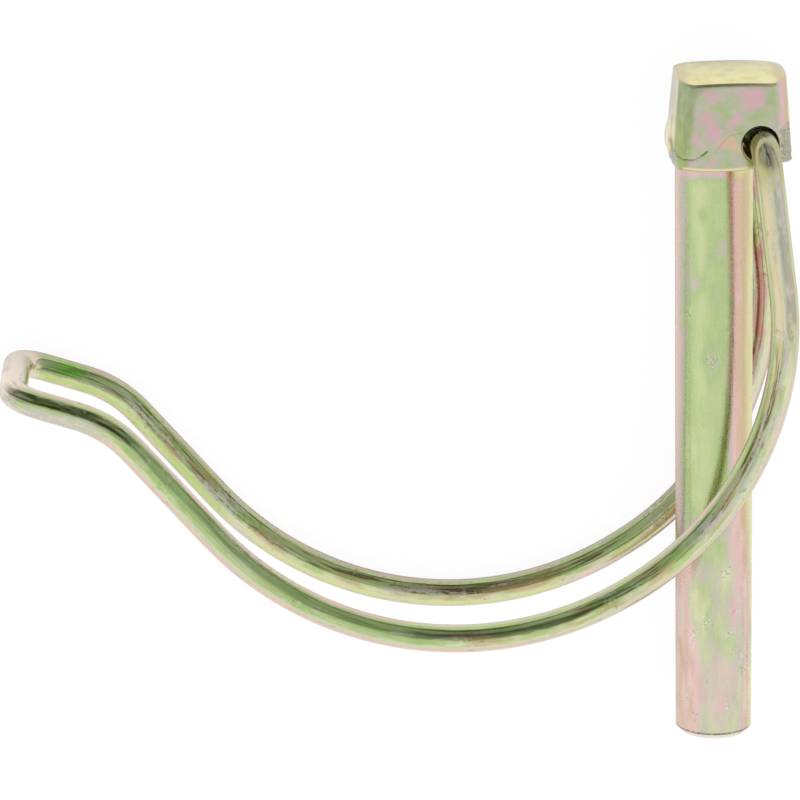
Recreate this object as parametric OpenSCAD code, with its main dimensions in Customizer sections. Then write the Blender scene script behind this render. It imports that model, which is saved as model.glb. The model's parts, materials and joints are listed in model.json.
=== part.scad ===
// Lynch pin: a forged steel pin with a folding bow of spring wire.
//
// The shank's axis is the Y axis, with the tip towards -Y and the underside of the head at y = 0.
// The cross hole through the head, and so the bow's hinge, runs along Z. The part lies on its
// side, with the bow swung open and its lower leg on the ground.

/* [Shank] */
// Diameter of the shank
shank_d = 10; // [8:0.5:13]
// Length of the shank, from the head's underside to the end of the tip
shank_len = 76; // [60:1:90]
// Width of the bevel round the tip
tip_bevel = 0.8; // [0.3:0.1:1.5]

/* [Head] */
// Height of the head over its underside, at the crown's highest point
head_h = 12.6; // [11:0.1:16]
// Width of the head across its pressed sides, at the underside
head_w = 15.4; // [14:0.1:17]
// Depth of the head between its front and back faces, at the underside
head_d = 14; // [12:0.2:16]
// How far the head stands out from the shank on the side away from the hinge
head_lip = 1; // [0.6:0.1:1.5]
// Lean of the pressed front and back faces, from the die's draft
face_draft = 3.8; // [1:0.2:6]
// Lean of the pressed side away from the hinge
lip_draft = 4.8; // [1:0.2:6]
// Lean of the pressed side by the hinge
hinge_draft = 2.6; // [1:0.2:6]
// Radius of the round blank between the pressed faces, half-way up the head
blank_r = 8.2; // [7.9:0.1:8.8]
// Lean of the round blank's shoulder
blank_lean = 7.5; // [3:0.5:10]
// How far the blank's middle lies in front of the head's middle
blank_shift = 0.6; // [0:0.1:1]
// Radius of the crowned top, from front to back
crown_r = 26; // [18:1:40]
// Radius of the crowned top, from side to side
crown_wide_r = 100; // [60:5:150]
// How far the crown's highest point lies behind the hole's middle
crown_back = 2.5; // [0:0.1:3]
// Width of the flat ring under the head, from the shank's wall out
seat_w = 1.6; // [0.8:0.1:2]
// Width that is left of that ring where the side away from the hinge is bevelled
seat_min = 0.2; // [0.1:0.05:0.4]
// Rise of the underside beyond that ring, in degrees
seat_rise = 15; // [5:1:20]

/* [Forging flash] */
// Thickness of the flash left where the dies met
flash_t = 2; // [1:0.1:3]
// How far the flash stands out from the head's side away from the hinge
flash_out = 0.7; // [0.4:0.1:1.2]
// How much of it is trimmed off on the hinge's side
flash_trim = 0.2; // [0:0.1:0.3]
// Height of the flash's top over the underside
flash_h = 7.2; // [6:0.1:9]
// Height over which the flash runs out at its top
flash_fade = 2.4; // [1:0.1:3]
// Height of the flash's foot on the hinge's side
flash_foot = 1; // [0.5:0.1:2]
// Height of the bevel under the flash on the side away from the hinge
flash_bevel = 3.3; // [2:0.1:4]

/* [Hinge] */
// Distance of the cross hole's axis from the shank's axis
hole_x = 5.1; // [4:0.1:6]
// Height of the cross hole's axis over the underside
hole_y = 3.4; // [3:0.1:5]
// Room round the wire in the cross hole, with the wire in its middle
hole_room = 0.5; // [0.3:0.05:0.8]
// How far the wire lies off the hole's middle, away from the shank
wire_shift = 0.2; // [0:0.05:0.25]
// Width of the broken edge round the hole's mouths
hole_edge = 0.2; // [0.1:0.05:0.4]
// Gap between the two wire ends in the middle of the hole
end_gap = 1; // [0.6:0.1:3]

/* [Bow] */
// Diameter of the spring wire
wire_d = 3.6; // [2.8:0.1:4.4]
// How much thinner the wire is drawn where it is bent
bend_draw = 0.02; // [0.01:0.01:0.1]
// Room between each leg and the head's widest face
leg_room = 1.4; // [1:0.1:3]
// Angle between the legs' first stretch and the shank, with the bow at rest
open_lean = 6.9; // [4:0.1:15]
// Bend radius where a leg turns into the hole, to the middle of the wire
elbow_r = 3; // [2.6:0.1:3.2]
// Bend radius at the closed end's two corners, to the middle of the wire
corner_r = 3.6; // [3:0.1:6]
// How much longer the back leg is than the front one, which sets the closed end askew
end_skew = 0.6; // [0:0.1:1.5]

/* [Legs] */
// Length of the straight lead, from the hinge's axis to the shoulder
lead_len = 18.4; // [12:0.2:26]
// Radius of the shoulder bend
shoulder_r = 39; // [32:0.5:45]
// Angle of the shoulder bend
shoulder_turn = 65.7; // [55:0.1:75]
// Length of the straight between the shoulder and the belly
waist_len = 0.6; // [0.4:0.1:6]
// Radius of the belly that goes round the tube
belly_r = 42; // [36:0.5:48]
// Angle of the belly
belly_turn = 80.7; // [70:0.1:90]
// Length of the straight run after the belly
run_len = 15.1; // [8:0.1:20]
// Radius of the reverse bend
crook_r = 15.5; // [12:0.5:24]
// Angle of the reverse bend
crook_turn = 31.2; // [20:0.2:45]
// Length of the finger tab, from the reverse bend to the middle of the closed end
tab_len = 8.8; // [7:0.1:16]

/* [Hidden] */
$fn = 96;

// How far the blocks that are cut to shape run past what they are cut to
spare = 2;

// The head
head_mid_h = head_h / 2;
head_tall = head_h + spare;
head_deep = head_d + 2 * spare;
side_left = -shank_d / 2 - head_lip;
side_right = side_left + head_w;
head_mid_x = (side_left + side_right) / 2;
foot_left = -shank_d / 2 - seat_min;
seat_r = shank_d / 2 + seat_w;
hole_d = wire_d + 2 * hole_room;

// The bow
hinge_x = hole_x + wire_shift;
leg_z = head_d / 2 + leg_room + wire_d / 2;
bend_d = wire_d - bend_draw;
bite = 0.1; // how far each bend reaches into the straights beside it
end_room = 2 * (leg_z - corner_r);
end_slant = atan(end_skew / end_room);

// The bend table of one leg, from the elbow to the closed end. Each row is a straight feed of
// the wire, a roll about itself, and a bend: [length, roll, radius, turn], left turns positive.
leg_table = [
    [lead_len - elbow_r, 90, shoulder_r, -shoulder_turn],
    [waist_len, 0, belly_r, -belly_turn],
    [run_len, 0, crook_r, crook_turn],
    [tab_len - end_skew / 2 - corner_r, -90, corner_r, 90 - end_slant],
];

// The same leg bent backwards, from the closed end to the elbow at the hinge
leg_back_table = [
    [end_room / cos(end_slant), 0, corner_r, 90 + end_slant],
    [tab_len + end_skew / 2 - corner_r, 90, crook_r, crook_turn],
    [run_len, 0, belly_r, -belly_turn],
    [waist_len, 0, shoulder_r, -shoulder_turn],
    [lead_len - elbow_r, -90, elbow_r, 90],
];

// The whole bow, from the wire end on the front side to the one on the back side
end_len = leg_z - elbow_r - end_gap / 2;
bow_table = concat([[end_len, 0, elbow_r, 90]], leg_table, leg_back_table, [[end_len, 0, 0, 0]]);

// How far the front and back faces have leaned in at a height over the underside
function face_in(height) = height * tan(face_draft);

// X of the side away from the hinge at a height over the underside
function lip_x(height) = side_left + height * tan(lip_draft);

// X of the side by the hinge at a height over the underside
function hinge_side_x(height) = side_right - height * tan(hinge_draft);

// Radius of the round blank at a height over the underside
function blank_at(height) = blank_r - (height - head_mid_h) * tan(blank_lean);

// Round bar from the head's middle down to the bevelled tip
module shank() {
    rotate([90, 0, 0])
        rotate_extrude()
            polygon([
                [0, -head_mid_h],
                [shank_d / 2, -head_mid_h],
                [shank_d / 2, shank_len - tip_bevel],
                [shank_d / 2 - tip_bevel, shank_len],
                [0, shank_len],
            ]);
}

// Front outline of the head, with the leaning sides and the bevel under the left flash
module head_front() {
    linear_extrude(height = head_deep, center = true)
        polygon([
            [foot_left, 0],
            [lip_x(flash_bevel), flash_bevel],
            [lip_x(head_tall), head_tall],
            [hinge_side_x(head_tall), head_tall],
            [side_right, 0],
        ]);
}

// Side outline of the head, with the leaning front and back faces
module head_side() {
    translate([side_left - spare, 0, 0])
        rotate([90, 0, 90])
            linear_extrude(height = head_w + 2 * spare)
                polygon([
                    [0, head_d / 2],
                    [0, -head_d / 2],
                    [head_tall, face_in(head_tall) - head_d / 2],
                    [head_tall, head_d / 2 - face_in(head_tall)],
                ]);
}

// Round blank that the faces are pressed into: it leaves the leaning corners
module head_blank() {
    translate([head_mid_x, 0, blank_shift])
        rotate([-90, 0, 0])
            cylinder(h = head_tall, r1 = blank_at(0), r2 = blank_at(head_tall));
}

// The space over the underside, which rises outside the flat ring round the shank
module over_underside() {
    reach = head_w + head_d;
    rotate([-90, 0, 0])
        rotate_extrude()
            polygon([
                [0, 0],
                [seat_r, 0],
                [reach, (reach - seat_r) * tan(seat_rise)],
                [reach, head_tall + reach],
                [0, head_tall + reach],
            ]);
}

// Round-rimmed disc whose rim is the head's crown
module crown() {
    hub_r = crown_wide_r - crown_r;
    translate([head_mid_x, head_h - crown_wide_r, -crown_back])
        rotate_extrude($fn = 360)
            intersection() {
                union() {
                    translate([hub_r, 0])
                        circle(r = crown_r, $fn = 180);
                    translate([0, -crown_r])
                        square([hub_r, 2 * crown_r]);
                }
                translate([0, -crown_r])
                    square([crown_wide_r, 2 * crown_r]);
            }
}

// Flash where the dies met, along the lower half of both sides
module flash() {
    full_h = flash_h - flash_fade;
    trimmed = flash_out - flash_trim;
    linear_extrude(height = flash_t, center = true)
        polygon([
            [foot_left, 0],
            [lip_x(flash_bevel) - flash_out, flash_bevel],
            [lip_x(full_h) - flash_out, full_h],
            [lip_x(flash_h), flash_h],
            [hinge_side_x(flash_h), flash_h],
            [hinge_side_x(full_h) + trimmed, full_h],
            [hinge_side_x(flash_foot) + trimmed, flash_foot],
            [side_right, 0],
        ]);
}

// Through hole for the wire ends, with its edges broken on both faces
module cross_hole() {
    face_z = head_d / 2 - face_in(hole_y);
    translate([hole_x, hole_y, 0]) {
        cylinder(d = hole_d, h = head_deep, center = true);
        for (side = [0, 1])
            mirror([0, 0, side])
                translate([0, 0, face_z - hole_edge])
                    cylinder(h = 2 * hole_edge, d1 = hole_d, d2 = hole_d + 4 * hole_edge);
    }
}

module pin() {
    color([0.77, 0.78, 0.60])
        difference() {
            union() {
                shank();
                intersection() {
                    head_front();
                    head_side();
                    head_blank();
                    over_underside();
                    crown();
                }
                flash();
            }
            cross_hole();
        }
}

// One bend, starting at the origin and heading along +X. It is a hair thinner than the straights
// and bites into them at both ends, so that the wire is one solid.
module wire_bend(radius, turn) {
    bite_turn = bite / radius * 180 / PI;
    side = sign(turn);
    translate([0, side * radius, 0])
        rotate([0, 0, (side > 0 ? -90 : 90 + turn) - bite_turn])
            rotate_extrude(angle = abs(turn) + 2 * bite_turn)
                translate([radius, 0])
                    circle(d = bend_d);
}

// Lays the wire by a bend table, row by row, from the origin along +X
module wire_run(table, row = 0) {
    if (row < len(table)) {
        feed = table[row][0];
        roll = table[row][1];
        radius = table[row][2];
        turn = table[row][3];
        rotate([0, 90, 0])
            cylinder(d = wire_d, h = feed);
        if (radius > 0)
            translate([feed, 0, 0])
                rotate([roll, 0, 0]) {
                    wire_bend(radius, turn);
                    translate([0, sign(turn) * radius, 0])
                        rotate([0, 0, turn])
                            translate([0, -sign(turn) * radius, 0])
                                wire_run(table, row + 1);
                }
    }
}

// The bow starts at the wire end inside the hole, heading along +Z
module bow() {
    color([0.66, 0.72, 0.45])
        translate([hinge_x, hole_y, end_gap / 2])
            rotate([0, -90, 180 + open_lean])
                wire_run(bow_table);
}

pin();
bow();
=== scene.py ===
"""Lynch pin with a folding wire bow: finished meshes, chromate finishes, light and camera.

Lengths are millimetres in the part's own frame unless a name says otherwise, and are turned into
metres where a mesh is made. The shank's axis is Y with the tip towards -Y, the hinge runs along Z,
and the part lies on its lower leg.
"""

import json
import logging
import math
from collections.abc import Iterable
from dataclasses import dataclass
from enum import Enum

import bmesh
import bpy
import numpy as np
from mathutils import Matrix, Vector


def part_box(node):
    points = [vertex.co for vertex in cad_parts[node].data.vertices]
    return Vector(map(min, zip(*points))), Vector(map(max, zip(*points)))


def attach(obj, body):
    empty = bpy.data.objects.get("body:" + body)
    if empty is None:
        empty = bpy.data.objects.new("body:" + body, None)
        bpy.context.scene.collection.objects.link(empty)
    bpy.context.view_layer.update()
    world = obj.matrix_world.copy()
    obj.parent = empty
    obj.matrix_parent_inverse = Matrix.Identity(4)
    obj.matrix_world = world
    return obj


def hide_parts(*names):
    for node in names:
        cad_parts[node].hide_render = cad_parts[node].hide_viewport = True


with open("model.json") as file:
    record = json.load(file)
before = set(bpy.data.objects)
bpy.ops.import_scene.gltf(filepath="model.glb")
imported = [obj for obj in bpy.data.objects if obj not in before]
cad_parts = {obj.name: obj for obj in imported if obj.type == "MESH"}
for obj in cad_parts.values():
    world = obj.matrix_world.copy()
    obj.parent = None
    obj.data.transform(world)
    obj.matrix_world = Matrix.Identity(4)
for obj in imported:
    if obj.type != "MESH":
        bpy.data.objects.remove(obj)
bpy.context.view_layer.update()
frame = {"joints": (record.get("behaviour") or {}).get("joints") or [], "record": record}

log = logging.getLogger("lynch_pin")

MM = 0.001

Socket = bpy.types.NodeSocket
Profile = tuple[tuple[float, float], ...]  # Places, and the number at each
Line = tuple[tuple[float, float], ...]  # Corners, as x and y
Spots = tuple[tuple[float, float, float], ...]  # Middle x and y of each spot, and its radius


# ---------------------------------------------------------------------------------------------
# Small helpers
# ---------------------------------------------------------------------------------------------


def soft_max(a: np.ndarray, b: np.ndarray, blend: float) -> np.ndarray:
    """Takes the larger of two distance fields, with the edge between them rounded inwards.

    Args:
        a: First field.
        b: Second field.
        blend: Width of the rounded edge.

    Returns:
        The field of what both shapes share.
    """
    overlap = np.maximum(blend - np.abs(a - b), 0.0) / blend
    return np.maximum(a, b) + overlap * overlap * blend / 4


def soft_min(a: np.ndarray, b: np.ndarray, blend: float) -> np.ndarray:
    """Takes the smaller of two distance fields, with a small fillet where they meet.

    Args:
        a: First field.
        b: Second field.
        blend: Width of the fillet.

    Returns:
        The field of both shapes together.
    """
    return -soft_max(-a, -b, blend)


def ripple(points: np.ndarray, pitch: float, seed: int, waves: int = 24) -> np.ndarray:
    """Smooth, repeatable unevenness: a sum of plane waves in seeded directions.

    Args:
        points: Points, one row each.
        pitch: Mean wavelength.
        seed: Seed of the directions and phases.
        waves: Number of waves.

    Returns:
        One value a point, mostly between -1 and 1.
    """
    random = np.random.default_rng(seed)
    ways = random.normal(size=(waves, 3))
    ways /= np.linalg.norm(ways, axis=1, keepdims=True)
    counts = 2 * math.pi / (pitch * random.uniform(0.6, 1.7, size=waves))
    phases = random.uniform(0, 2 * math.pi, size=waves)
    return np.sin((points @ ways.T) * counts + phases).sum(axis=1) / math.sqrt(waves)


def near_line(points: np.ndarray, line: Line) -> np.ndarray:
    """Distance in the XY plane from each point to an open line.

    Args:
        points: Points, one row each.
        line: Corners of the line.

    Returns:
        One distance a point.
    """
    flat = points[:, :2]
    best = np.full(len(points), np.inf)
    for start, end in zip(line, line[1:]):
        a = np.array(start)
        way = np.array(end) - a
        share = np.clip((flat - a) @ way / (way @ way), 0, 1)
        gap = np.linalg.norm(flat - a - share[:, None] * way, axis=1)
        best = np.minimum(best, gap)
    return best


def clouds(points: np.ndarray, spots: Spots) -> np.ndarray:
    """Soft, uneven spots in the XY plane.

    Args:
        points: Points, one row each.
        spots: The spots.

    Returns:
        One value a point, from 0 away from the spots to 1 inside them.
    """
    wander = np.column_stack([ripple(points, 2.2, seed=21), ripple(points, 2.2, seed=22)])
    flat = points[:, :2] + 0.4 * wander
    inside = [np.exp(-((flat - spot[:2]) ** 2).sum(axis=1) / spot[2] ** 2) for spot in spots]
    return np.clip(np.sum(inside, axis=0), 0, 1)


def add_mark(mesh: bpy.types.Mesh, mark: Enum, values: np.ndarray) -> None:
    """Stores one number a vertex on a mesh, for its material to read.

    Args:
        mesh: The mesh.
        mark: Which of its numbers.
        values: One value a vertex.
    """
    layer = mesh.attributes.new(mark.value, "FLOAT", "POINT")
    layer.data.foreach_set("value", values.astype(np.float32))


def linked(name: str, data: bpy.types.ID) -> bpy.types.Object:
    """Puts data into the scene as an object of its own at the origin.

    Args:
        name: Name of the object.
        data: Its mesh, curve, camera or light.

    Returns:
        The object.
    """
    made = bpy.data.objects.new(name, data)
    bpy.context.scene.collection.objects.link(made)
    return made


def skin(form: bmesh.types.BMesh, rows: list[list[bmesh.types.BMVert]]) -> None:
    """Joins closed rings of vertices, one after another, with four-sided faces.

    Args:
        form: The mesh so far.
        rows: Rings of as many vertices each.
    """
    for upper, lower in zip(rows, rows[1:]):
        for i in range(len(upper)):
            form.faces.new((upper[i - 1], upper[i], lower[i], lower[i - 1]))


def mesh_from(form: bmesh.types.BMesh, name: str) -> bpy.types.Mesh:
    """Turns a closed form into a mesh whose faces point outwards.

    Args:
        form: The form, which is used up.
        name: Name of the mesh.

    Returns:
        The mesh.
    """
    bmesh.ops.recalc_face_normals(form, faces=form.faces)
    mesh = bpy.data.meshes.new(name)
    form.to_mesh(mesh)
    form.free()
    return mesh


def evaluated_mesh(piece: bpy.types.Object) -> bpy.types.Mesh:
    """Makes a plain mesh of what an object's modifiers give.

    Args:
        piece: The object, which is left as it is.

    Returns:
        The mesh.
    """
    graph = bpy.context.evaluated_depsgraph_get()
    return bpy.data.meshes.new_from_object(piece.evaluated_get(graph), depsgraph=graph)


def vertices_of(mesh: bpy.types.Mesh) -> np.ndarray:
    """Reads a mesh's vertices.

    Args:
        mesh: The mesh.

    Returns:
        Their places in millimetres, one row each.
    """
    places = np.empty(len(mesh.vertices) * 3, np.float32)
    mesh.vertices.foreach_get("co", places)
    return places.reshape(-1, 3) / MM


# ---------------------------------------------------------------------------------------------
# Material building
# ---------------------------------------------------------------------------------------------


class Blend(Enum):
    """How a paint goes over the colour under it, with Blender's name of each way."""

    COVER = "MIX"
    DARKEN = "MULTIPLY"


class Tree:
    """A thin writer for a node tree, so that each finish reads as a list of steps."""

    def __init__(self, tree: bpy.types.NodeTree) -> None:
        """Starts writing into an empty tree.

        Args:
            tree: The node tree.
        """
        self.tree = tree

    def node(self, kind: str, feeds: dict[int | str, object] | None = None,
             **settings: object) -> bpy.types.Node:
        """Adds a node, sets its own properties and feeds its inputs.

        Args:
            kind: Blender's name of the node type.
            feeds: Values or outputs for its inputs, by the input's name or number.
            **settings: Properties of the node.

        Returns:
            The node.
        """
        made = self.tree.nodes.new(kind)
        for name, value in settings.items():
            setattr(made, name, value)
        for socket, value in (feeds or {}).items():
            self.feed(made.inputs[socket], value)
        return made

    def feed(self, socket: Socket, value: object) -> None:
        """Links an output to a socket, or sets the socket's own value.

        Args:
            socket: The input socket.
            value: An output socket, a number, a vector or a colour.
        """
        if isinstance(value, Socket):
            self.tree.links.new(value, socket)
        else:
            socket.default_value = value

    def math(self, operation: str, *values: object, clamp: bool = False) -> Socket:
        """One step of arithmetic.

        Args:
            operation: Blender's name of the operation.
            *values: The one to three values or outputs that it takes.
            clamp: Whether the result stays between 0 and 1.

        Returns:
            The result's output socket.
        """
        made = self.node("ShaderNodeMath", dict(enumerate(values)), operation=operation, use_clamp=clamp)
        return made.outputs[0]

    def times(self, first: object, *others: object) -> Socket:
        """The product of two or more values.

        Args:
            first: First value.
            *others: The rest.

        Returns:
            The product's output socket.
        """
        for other in others:
            first = self.math("MULTIPLY", first, other)
        return first

    def larger(self, first: object, *others: object) -> Socket:
        """The largest of two or more values.

        Args:
            first: First value.
            *others: The rest.

        Returns:
            The largest one's output socket.
        """
        for other in others:
            first = self.math("MAXIMUM", first, other)
        return first

    def line(self, value: object, slope: object, start: object) -> Socket:
        """A value times a slope, plus a start."""
        return self.math("MULTIPLY_ADD", value, slope, start)

    def rest(self, share: object) -> Socket:
        """What a share leaves of 1."""
        return self.math("SUBTRACT", 1.0, share)

    def grown(self, vector: object, factor: object) -> Socket:
        """A vector times a number."""
        made = self.node("ShaderNodeVectorMath", {0: vector, "Scale": factor}, operation="SCALE")
        return made.outputs["Vector"]

    def split(self, vector: object) -> list[Socket]:
        """The three parts of a vector."""
        return list(self.node("ShaderNodeSeparateXYZ", {0: vector}).outputs)

    def join(self, x: object, y: object, z: object) -> Socket:
        """A vector of three parts."""
        return self.node("ShaderNodeCombineXYZ", {0: x, 1: y, 2: z}).outputs[0]

    def mark(self, mark: Enum) -> Socket:
        """One of the numbers that a mesh carries for its material."""
        made = self.node("ShaderNodeAttribute", attribute_type="GEOMETRY", attribute_name=mark.value)
        return made.outputs["Fac"]

    def noise(self, at: object, scale: float, detail: float = 3, rough: float = 0.5) -> Socket:
        """Fractal noise between 0 and 1.

        Args:
            at: Where it is read.
            scale: Its scale.
            detail: Its octaves.
            rough: How strong the fine octaves are.

        Returns:
            The noise's value.
        """
        feeds = {"Vector": at, "Scale": scale, "Detail": detail, "Roughness": rough}
        return self.node("ShaderNodeTexNoise", feeds, noise_dimensions="3D").outputs["Fac"]

    def swing(self, at: object, scale: float, detail: float = 3, rough: float = 0.5) -> Socket:
        """The same noise about zero, between -0.5 and 0.5."""
        return self.math("SUBTRACT", self.noise(at, scale, detail, rough), 0.5)

    def remap(self, value: object, low: float, high: float, to_low: float = 0, to_high: float = 1) -> Socket:
        """Maps a range to another with a smooth step, held at both ends.

        Args:
            value: The value.
            low: Value that becomes to_low.
            high: Value that becomes to_high.
            to_low: Result at low.
            to_high: Result at high.

        Returns:
            The result's output socket.
        """
        feeds = dict(enumerate((value, low, high, to_low, to_high)))
        return self.node("ShaderNodeMapRange", feeds, interpolation_type="SMOOTHSTEP").outputs["Result"]

    def window(self, value: object, low: float, high: float, soft: float) -> Socket:
        """1 where a value lies between two limits, fading to 0 over a soft border.

        Args:
            value: The value.
            low: Lower limit.
            high: Upper limit.
            soft: Half the border's width.

        Returns:
            The share's output socket.
        """
        rise = self.remap(value, low - soft, low + soft)
        return self.times(rise, self.remap(value, high + soft, high - soft))

    def mix(self, share: object, a: object, b: object, blend: Blend = Blend.COVER) -> Socket:
        """Mixes two colours.

        Args:
            share: How much of b is in it.
            a: First colour.
            b: Second colour.
            blend: How b goes over a.

        Returns:
            The mixed colour.
        """
        feeds = {"Factor": share, 6: a, 7: b}
        made = self.node("ShaderNodeMix", feeds, data_type="RGBA", blend_type=blend.value, clamp_factor=True)
        return made.outputs[2]

    def lay(self, colour: object, *layers: tuple[object, object], blend: Blend = Blend.COVER) -> Socket:
        """Lays paints over a colour, the first one lowest.

        Args:
            colour: The colour underneath.
            *layers: How much of each paint shows, and the paint.
            blend: How they go over the colour.

        Returns:
            The colour with the paints on it.
        """
        for share, over in layers:
            colour = self.mix(share, colour, over, blend)
        return colour

    def blend(self, share: object, a: object, b: object) -> Socket:
        """Mixes two numbers.

        Args:
            share: How much of b is in it.
            a: First number.
            b: Second number.

        Returns:
            The mixed number.
        """
        feeds = {"Factor": share, 2: a, 3: b}
        return self.node("ShaderNodeMix", feeds, data_type="FLOAT", clamp_factor=True).outputs[0]

    def ramp(self, value: object, stops: list[tuple[float, tuple[float, float, float, float]]]) -> Socket:
        """Colours along a value, with straight lines between the stops.

        Args:
            value: Where on the ramp, from 0 to 1.
            stops: Places and their linear colours, in rising order.

        Returns:
            The colour.
        """
        made = self.node("ShaderNodeValToRGB", {0: value})
        band = made.color_ramp
        band.interpolation = "LINEAR"
        while len(band.elements) < len(stops):
            band.elements.new(0.5)
        for element, (place, colour) in zip(band.elements, stops):
            element.position = place
            element.color = colour
        return made.outputs["Color"]

    def profile(self, value: object, stops: Iterable[tuple[float, float]]) -> Socket:
        """A number along a value from 0 to 1, with straight lines between the stops."""
        return self.ramp(value, [(place, (number, number, number, 1)) for place, number in stops])

    def across(self, value: object, stops: Profile) -> Socket:
        """A number along a value from -1 to 1, with straight lines between the stops."""
        shares = ((place / 2 + 0.5, number) for place, number in stops)
        return self.profile(self.line(value, 0.5, 0.5), shares)

    def bump(self, height: object, strength: float, depth: float) -> Socket:
        """The normal of a surface with a height laid on it.

        Args:
            height: The height, 0 to 1.
            strength: Share of the bump that shows.
            depth: Depth of a height of 1, in millimetres.

        Returns:
            The normal.
        """
        feeds = {"Strength": strength, "Distance": depth * MM, "Height": height}
        return self.node("ShaderNodeBump", feeds).outputs["Normal"]


def paint(red: float, green: float, blue: float) -> tuple[float, float, float, float]:
    """Turns a display colour, 0 to 255 a channel, into the opaque linear one that shaders take.

    Args:
        red: Red.
        green: Green.
        blue: Blue.

    Returns:
        The same colour, linear, 0 to 1.
    """
    shares = [channel / 255 for channel in (red, green, blue)]
    return (*(s / 12.92 if s <= 0.04045 else ((s + 0.055) / 1.055) ** 2.4 for s in shares), 1.0)


def new_group(name: str, inputs: dict[str, tuple[str, object]],
              outputs: dict[str, str]) -> tuple[Tree, bpy.types.bpy_prop_collection]:
    """Makes an empty shader node group with named sockets.

    Args:
        name: Name of the group.
        inputs: Input names with their socket types and defaults.
        outputs: Output names with their socket types.

    Returns:
        A writer for the group, and the outputs of its input node by name.
    """
    group = bpy.data.node_groups.new(name, "ShaderNodeTree")
    for label, (kind, default) in inputs.items():
        socket = group.interface.new_socket(name=label, in_out="INPUT", socket_type=kind)
        if default is not None:
            socket.default_value = default
    for label, kind in outputs.items():
        group.interface.new_socket(name=label, in_out="OUTPUT", socket_type=kind)
    tree = Tree(group)
    return tree, tree.node("NodeGroupInput").outputs


def new_finish(name: str) -> tuple[bpy.types.Material, Tree]:
    """Makes an empty material.

    Args:
        name: Name of the material.

    Returns:
        The material, and a writer for its tree.
    """
    material = bpy.data.materials.new(name)
    material.use_nodes = True
    material.node_tree.nodes.clear()
    return material, Tree(material.node_tree)


def finish_metal(tree: Tree, colour: object, rough: object, normal: object, metal: object) -> None:
    """Ends a material's tree in a metallic Principled BSDF.

    Args:
        tree: The material's tree.
        colour: Base colour.
        rough: Roughness.
        normal: Normal.
        metal: How metallic the surface is.
    """
    feeds = {"Base Color": colour, "Metallic": metal, "Roughness": rough, "Normal": normal}
    shader = tree.node("ShaderNodeBsdfPrincipled", feeds)
    tree.node("ShaderNodeOutputMaterial", {"Surface": shader.outputs[0]})


class Effect(Enum):
    """The surface effects that more than one finish uses, each one a node group."""

    CHROMATE = "chromate_film"
    DRAWN = "drawn_lines"
    SPECKLE = "speckle"


class EffectShelf:
    """Builds each effect's node group once and hands it out.

    The film's colours are given by its thickness, from 0 to 1.
    """

    PALE_FILM = (244, 230, 206)
    FILM_COLOURS = (
        (0.0, (250, 241, 216)), (0.12, (245, 238, 180)), (0.24, (217, 204, 150)), (0.36, (212, 184, 154)),
        (0.47, (233, 190, 191)), (0.58, (200, 195, 180)), (0.68, (178, 203, 138)), (0.80, (205, 217, 162)),
        (0.90, (190, 198, 142)), (1.0, (170, 176, 128)),
    )

    def __init__(self) -> None:
        """Builds the groups."""
        self.groups = {
            Effect.CHROMATE: self.chromate_film(),
            Effect.DRAWN: self.drawn_lines(),
            Effect.SPECKLE: self.speckle(),
        }

    def place(self, tree: Tree, effect: Effect, **inputs: object) -> bpy.types.bpy_prop_collection:
        """Places an effect in a material's tree.

        Args:
            tree: The material's tree.
            effect: Which effect.
            **inputs: Its inputs by name.

        Returns:
            Its outputs by name.
        """
        return tree.node("ShaderNodeGroup", inputs, node_tree=self.groups[effect]).outputs

    def chromate_film(self) -> bpy.types.NodeTree:
        """Chromate film: its colour runs through straw, rose, lilac and green as it gets thicker.

        Returns:
            The node group.
        """
        tree, given = new_group(
            Effect.CHROMATE.value,
            {"Thickness": ("NodeSocketFloat", 0.5), "Paleness": ("NodeSocketFloat", 0.0)},
            {"Color": "NodeSocketColor"},
        )
        film = tree.ramp(given["Thickness"], [(place, paint(*colour)) for place, colour in self.FILM_COLOURS])
        tree.node("NodeGroupOutput", {"Color": tree.mix(given["Paleness"], film, paint(*self.PALE_FILM))})
        return tree.tree

    def drawn_lines(self) -> bpy.types.NodeTree:
        """Fine lines along the metal, from drawing it through a die, as a height.

        Returns:
            The node group.
        """
        tree, given = new_group(
            Effect.DRAWN.value,
            {"Place": ("NodeSocketVector", None), "Fineness": ("NodeSocketFloat", 1.0)},
            {"Height": "NodeSocketFloat"},
        )
        place = tree.grown(given["Place"], given["Fineness"])
        fine = tree.times(tree.noise(place, 3.0, detail=1), 0.6)
        broad = tree.times(tree.noise(place, 0.9, detail=2), 0.4)
        tree.node("NodeGroupOutput", {"Height": tree.math("ADD", fine, broad)})
        return tree.tree

    def speckle(self) -> bpy.types.NodeTree:
        """Handling marks in clusters: dark pits and pale chips, each as a mask.

        Returns:
            The node group.
        """
        tree, given = new_group(
            Effect.SPECKLE.value,
            {"Place": ("NodeSocketVector", None), "Density": ("NodeSocketFloat", 0.5)},
            {"Pits": "NodeSocketFloat", "Chips": "NodeSocketFloat"},
        )
        low = tree.line(given["Density"], -0.38, 0.76)
        area = tree.math("SUBTRACT", tree.noise(given["Place"], 0.45, detail=2), low)
        area = tree.math("MULTIPLY", area, 9.0, clamp=True)
        grains = tree.noise(given["Place"], 3.6, detail=3, rough=0.6)
        pits = tree.times(tree.remap(grains, 0.42, 0.36), area)
        chips = tree.times(tree.remap(grains, 0.55, 0.62), area)
        tree.node("NodeGroupOutput", {"Pits": pits, "Chips": chips})
        return tree.tree


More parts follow.
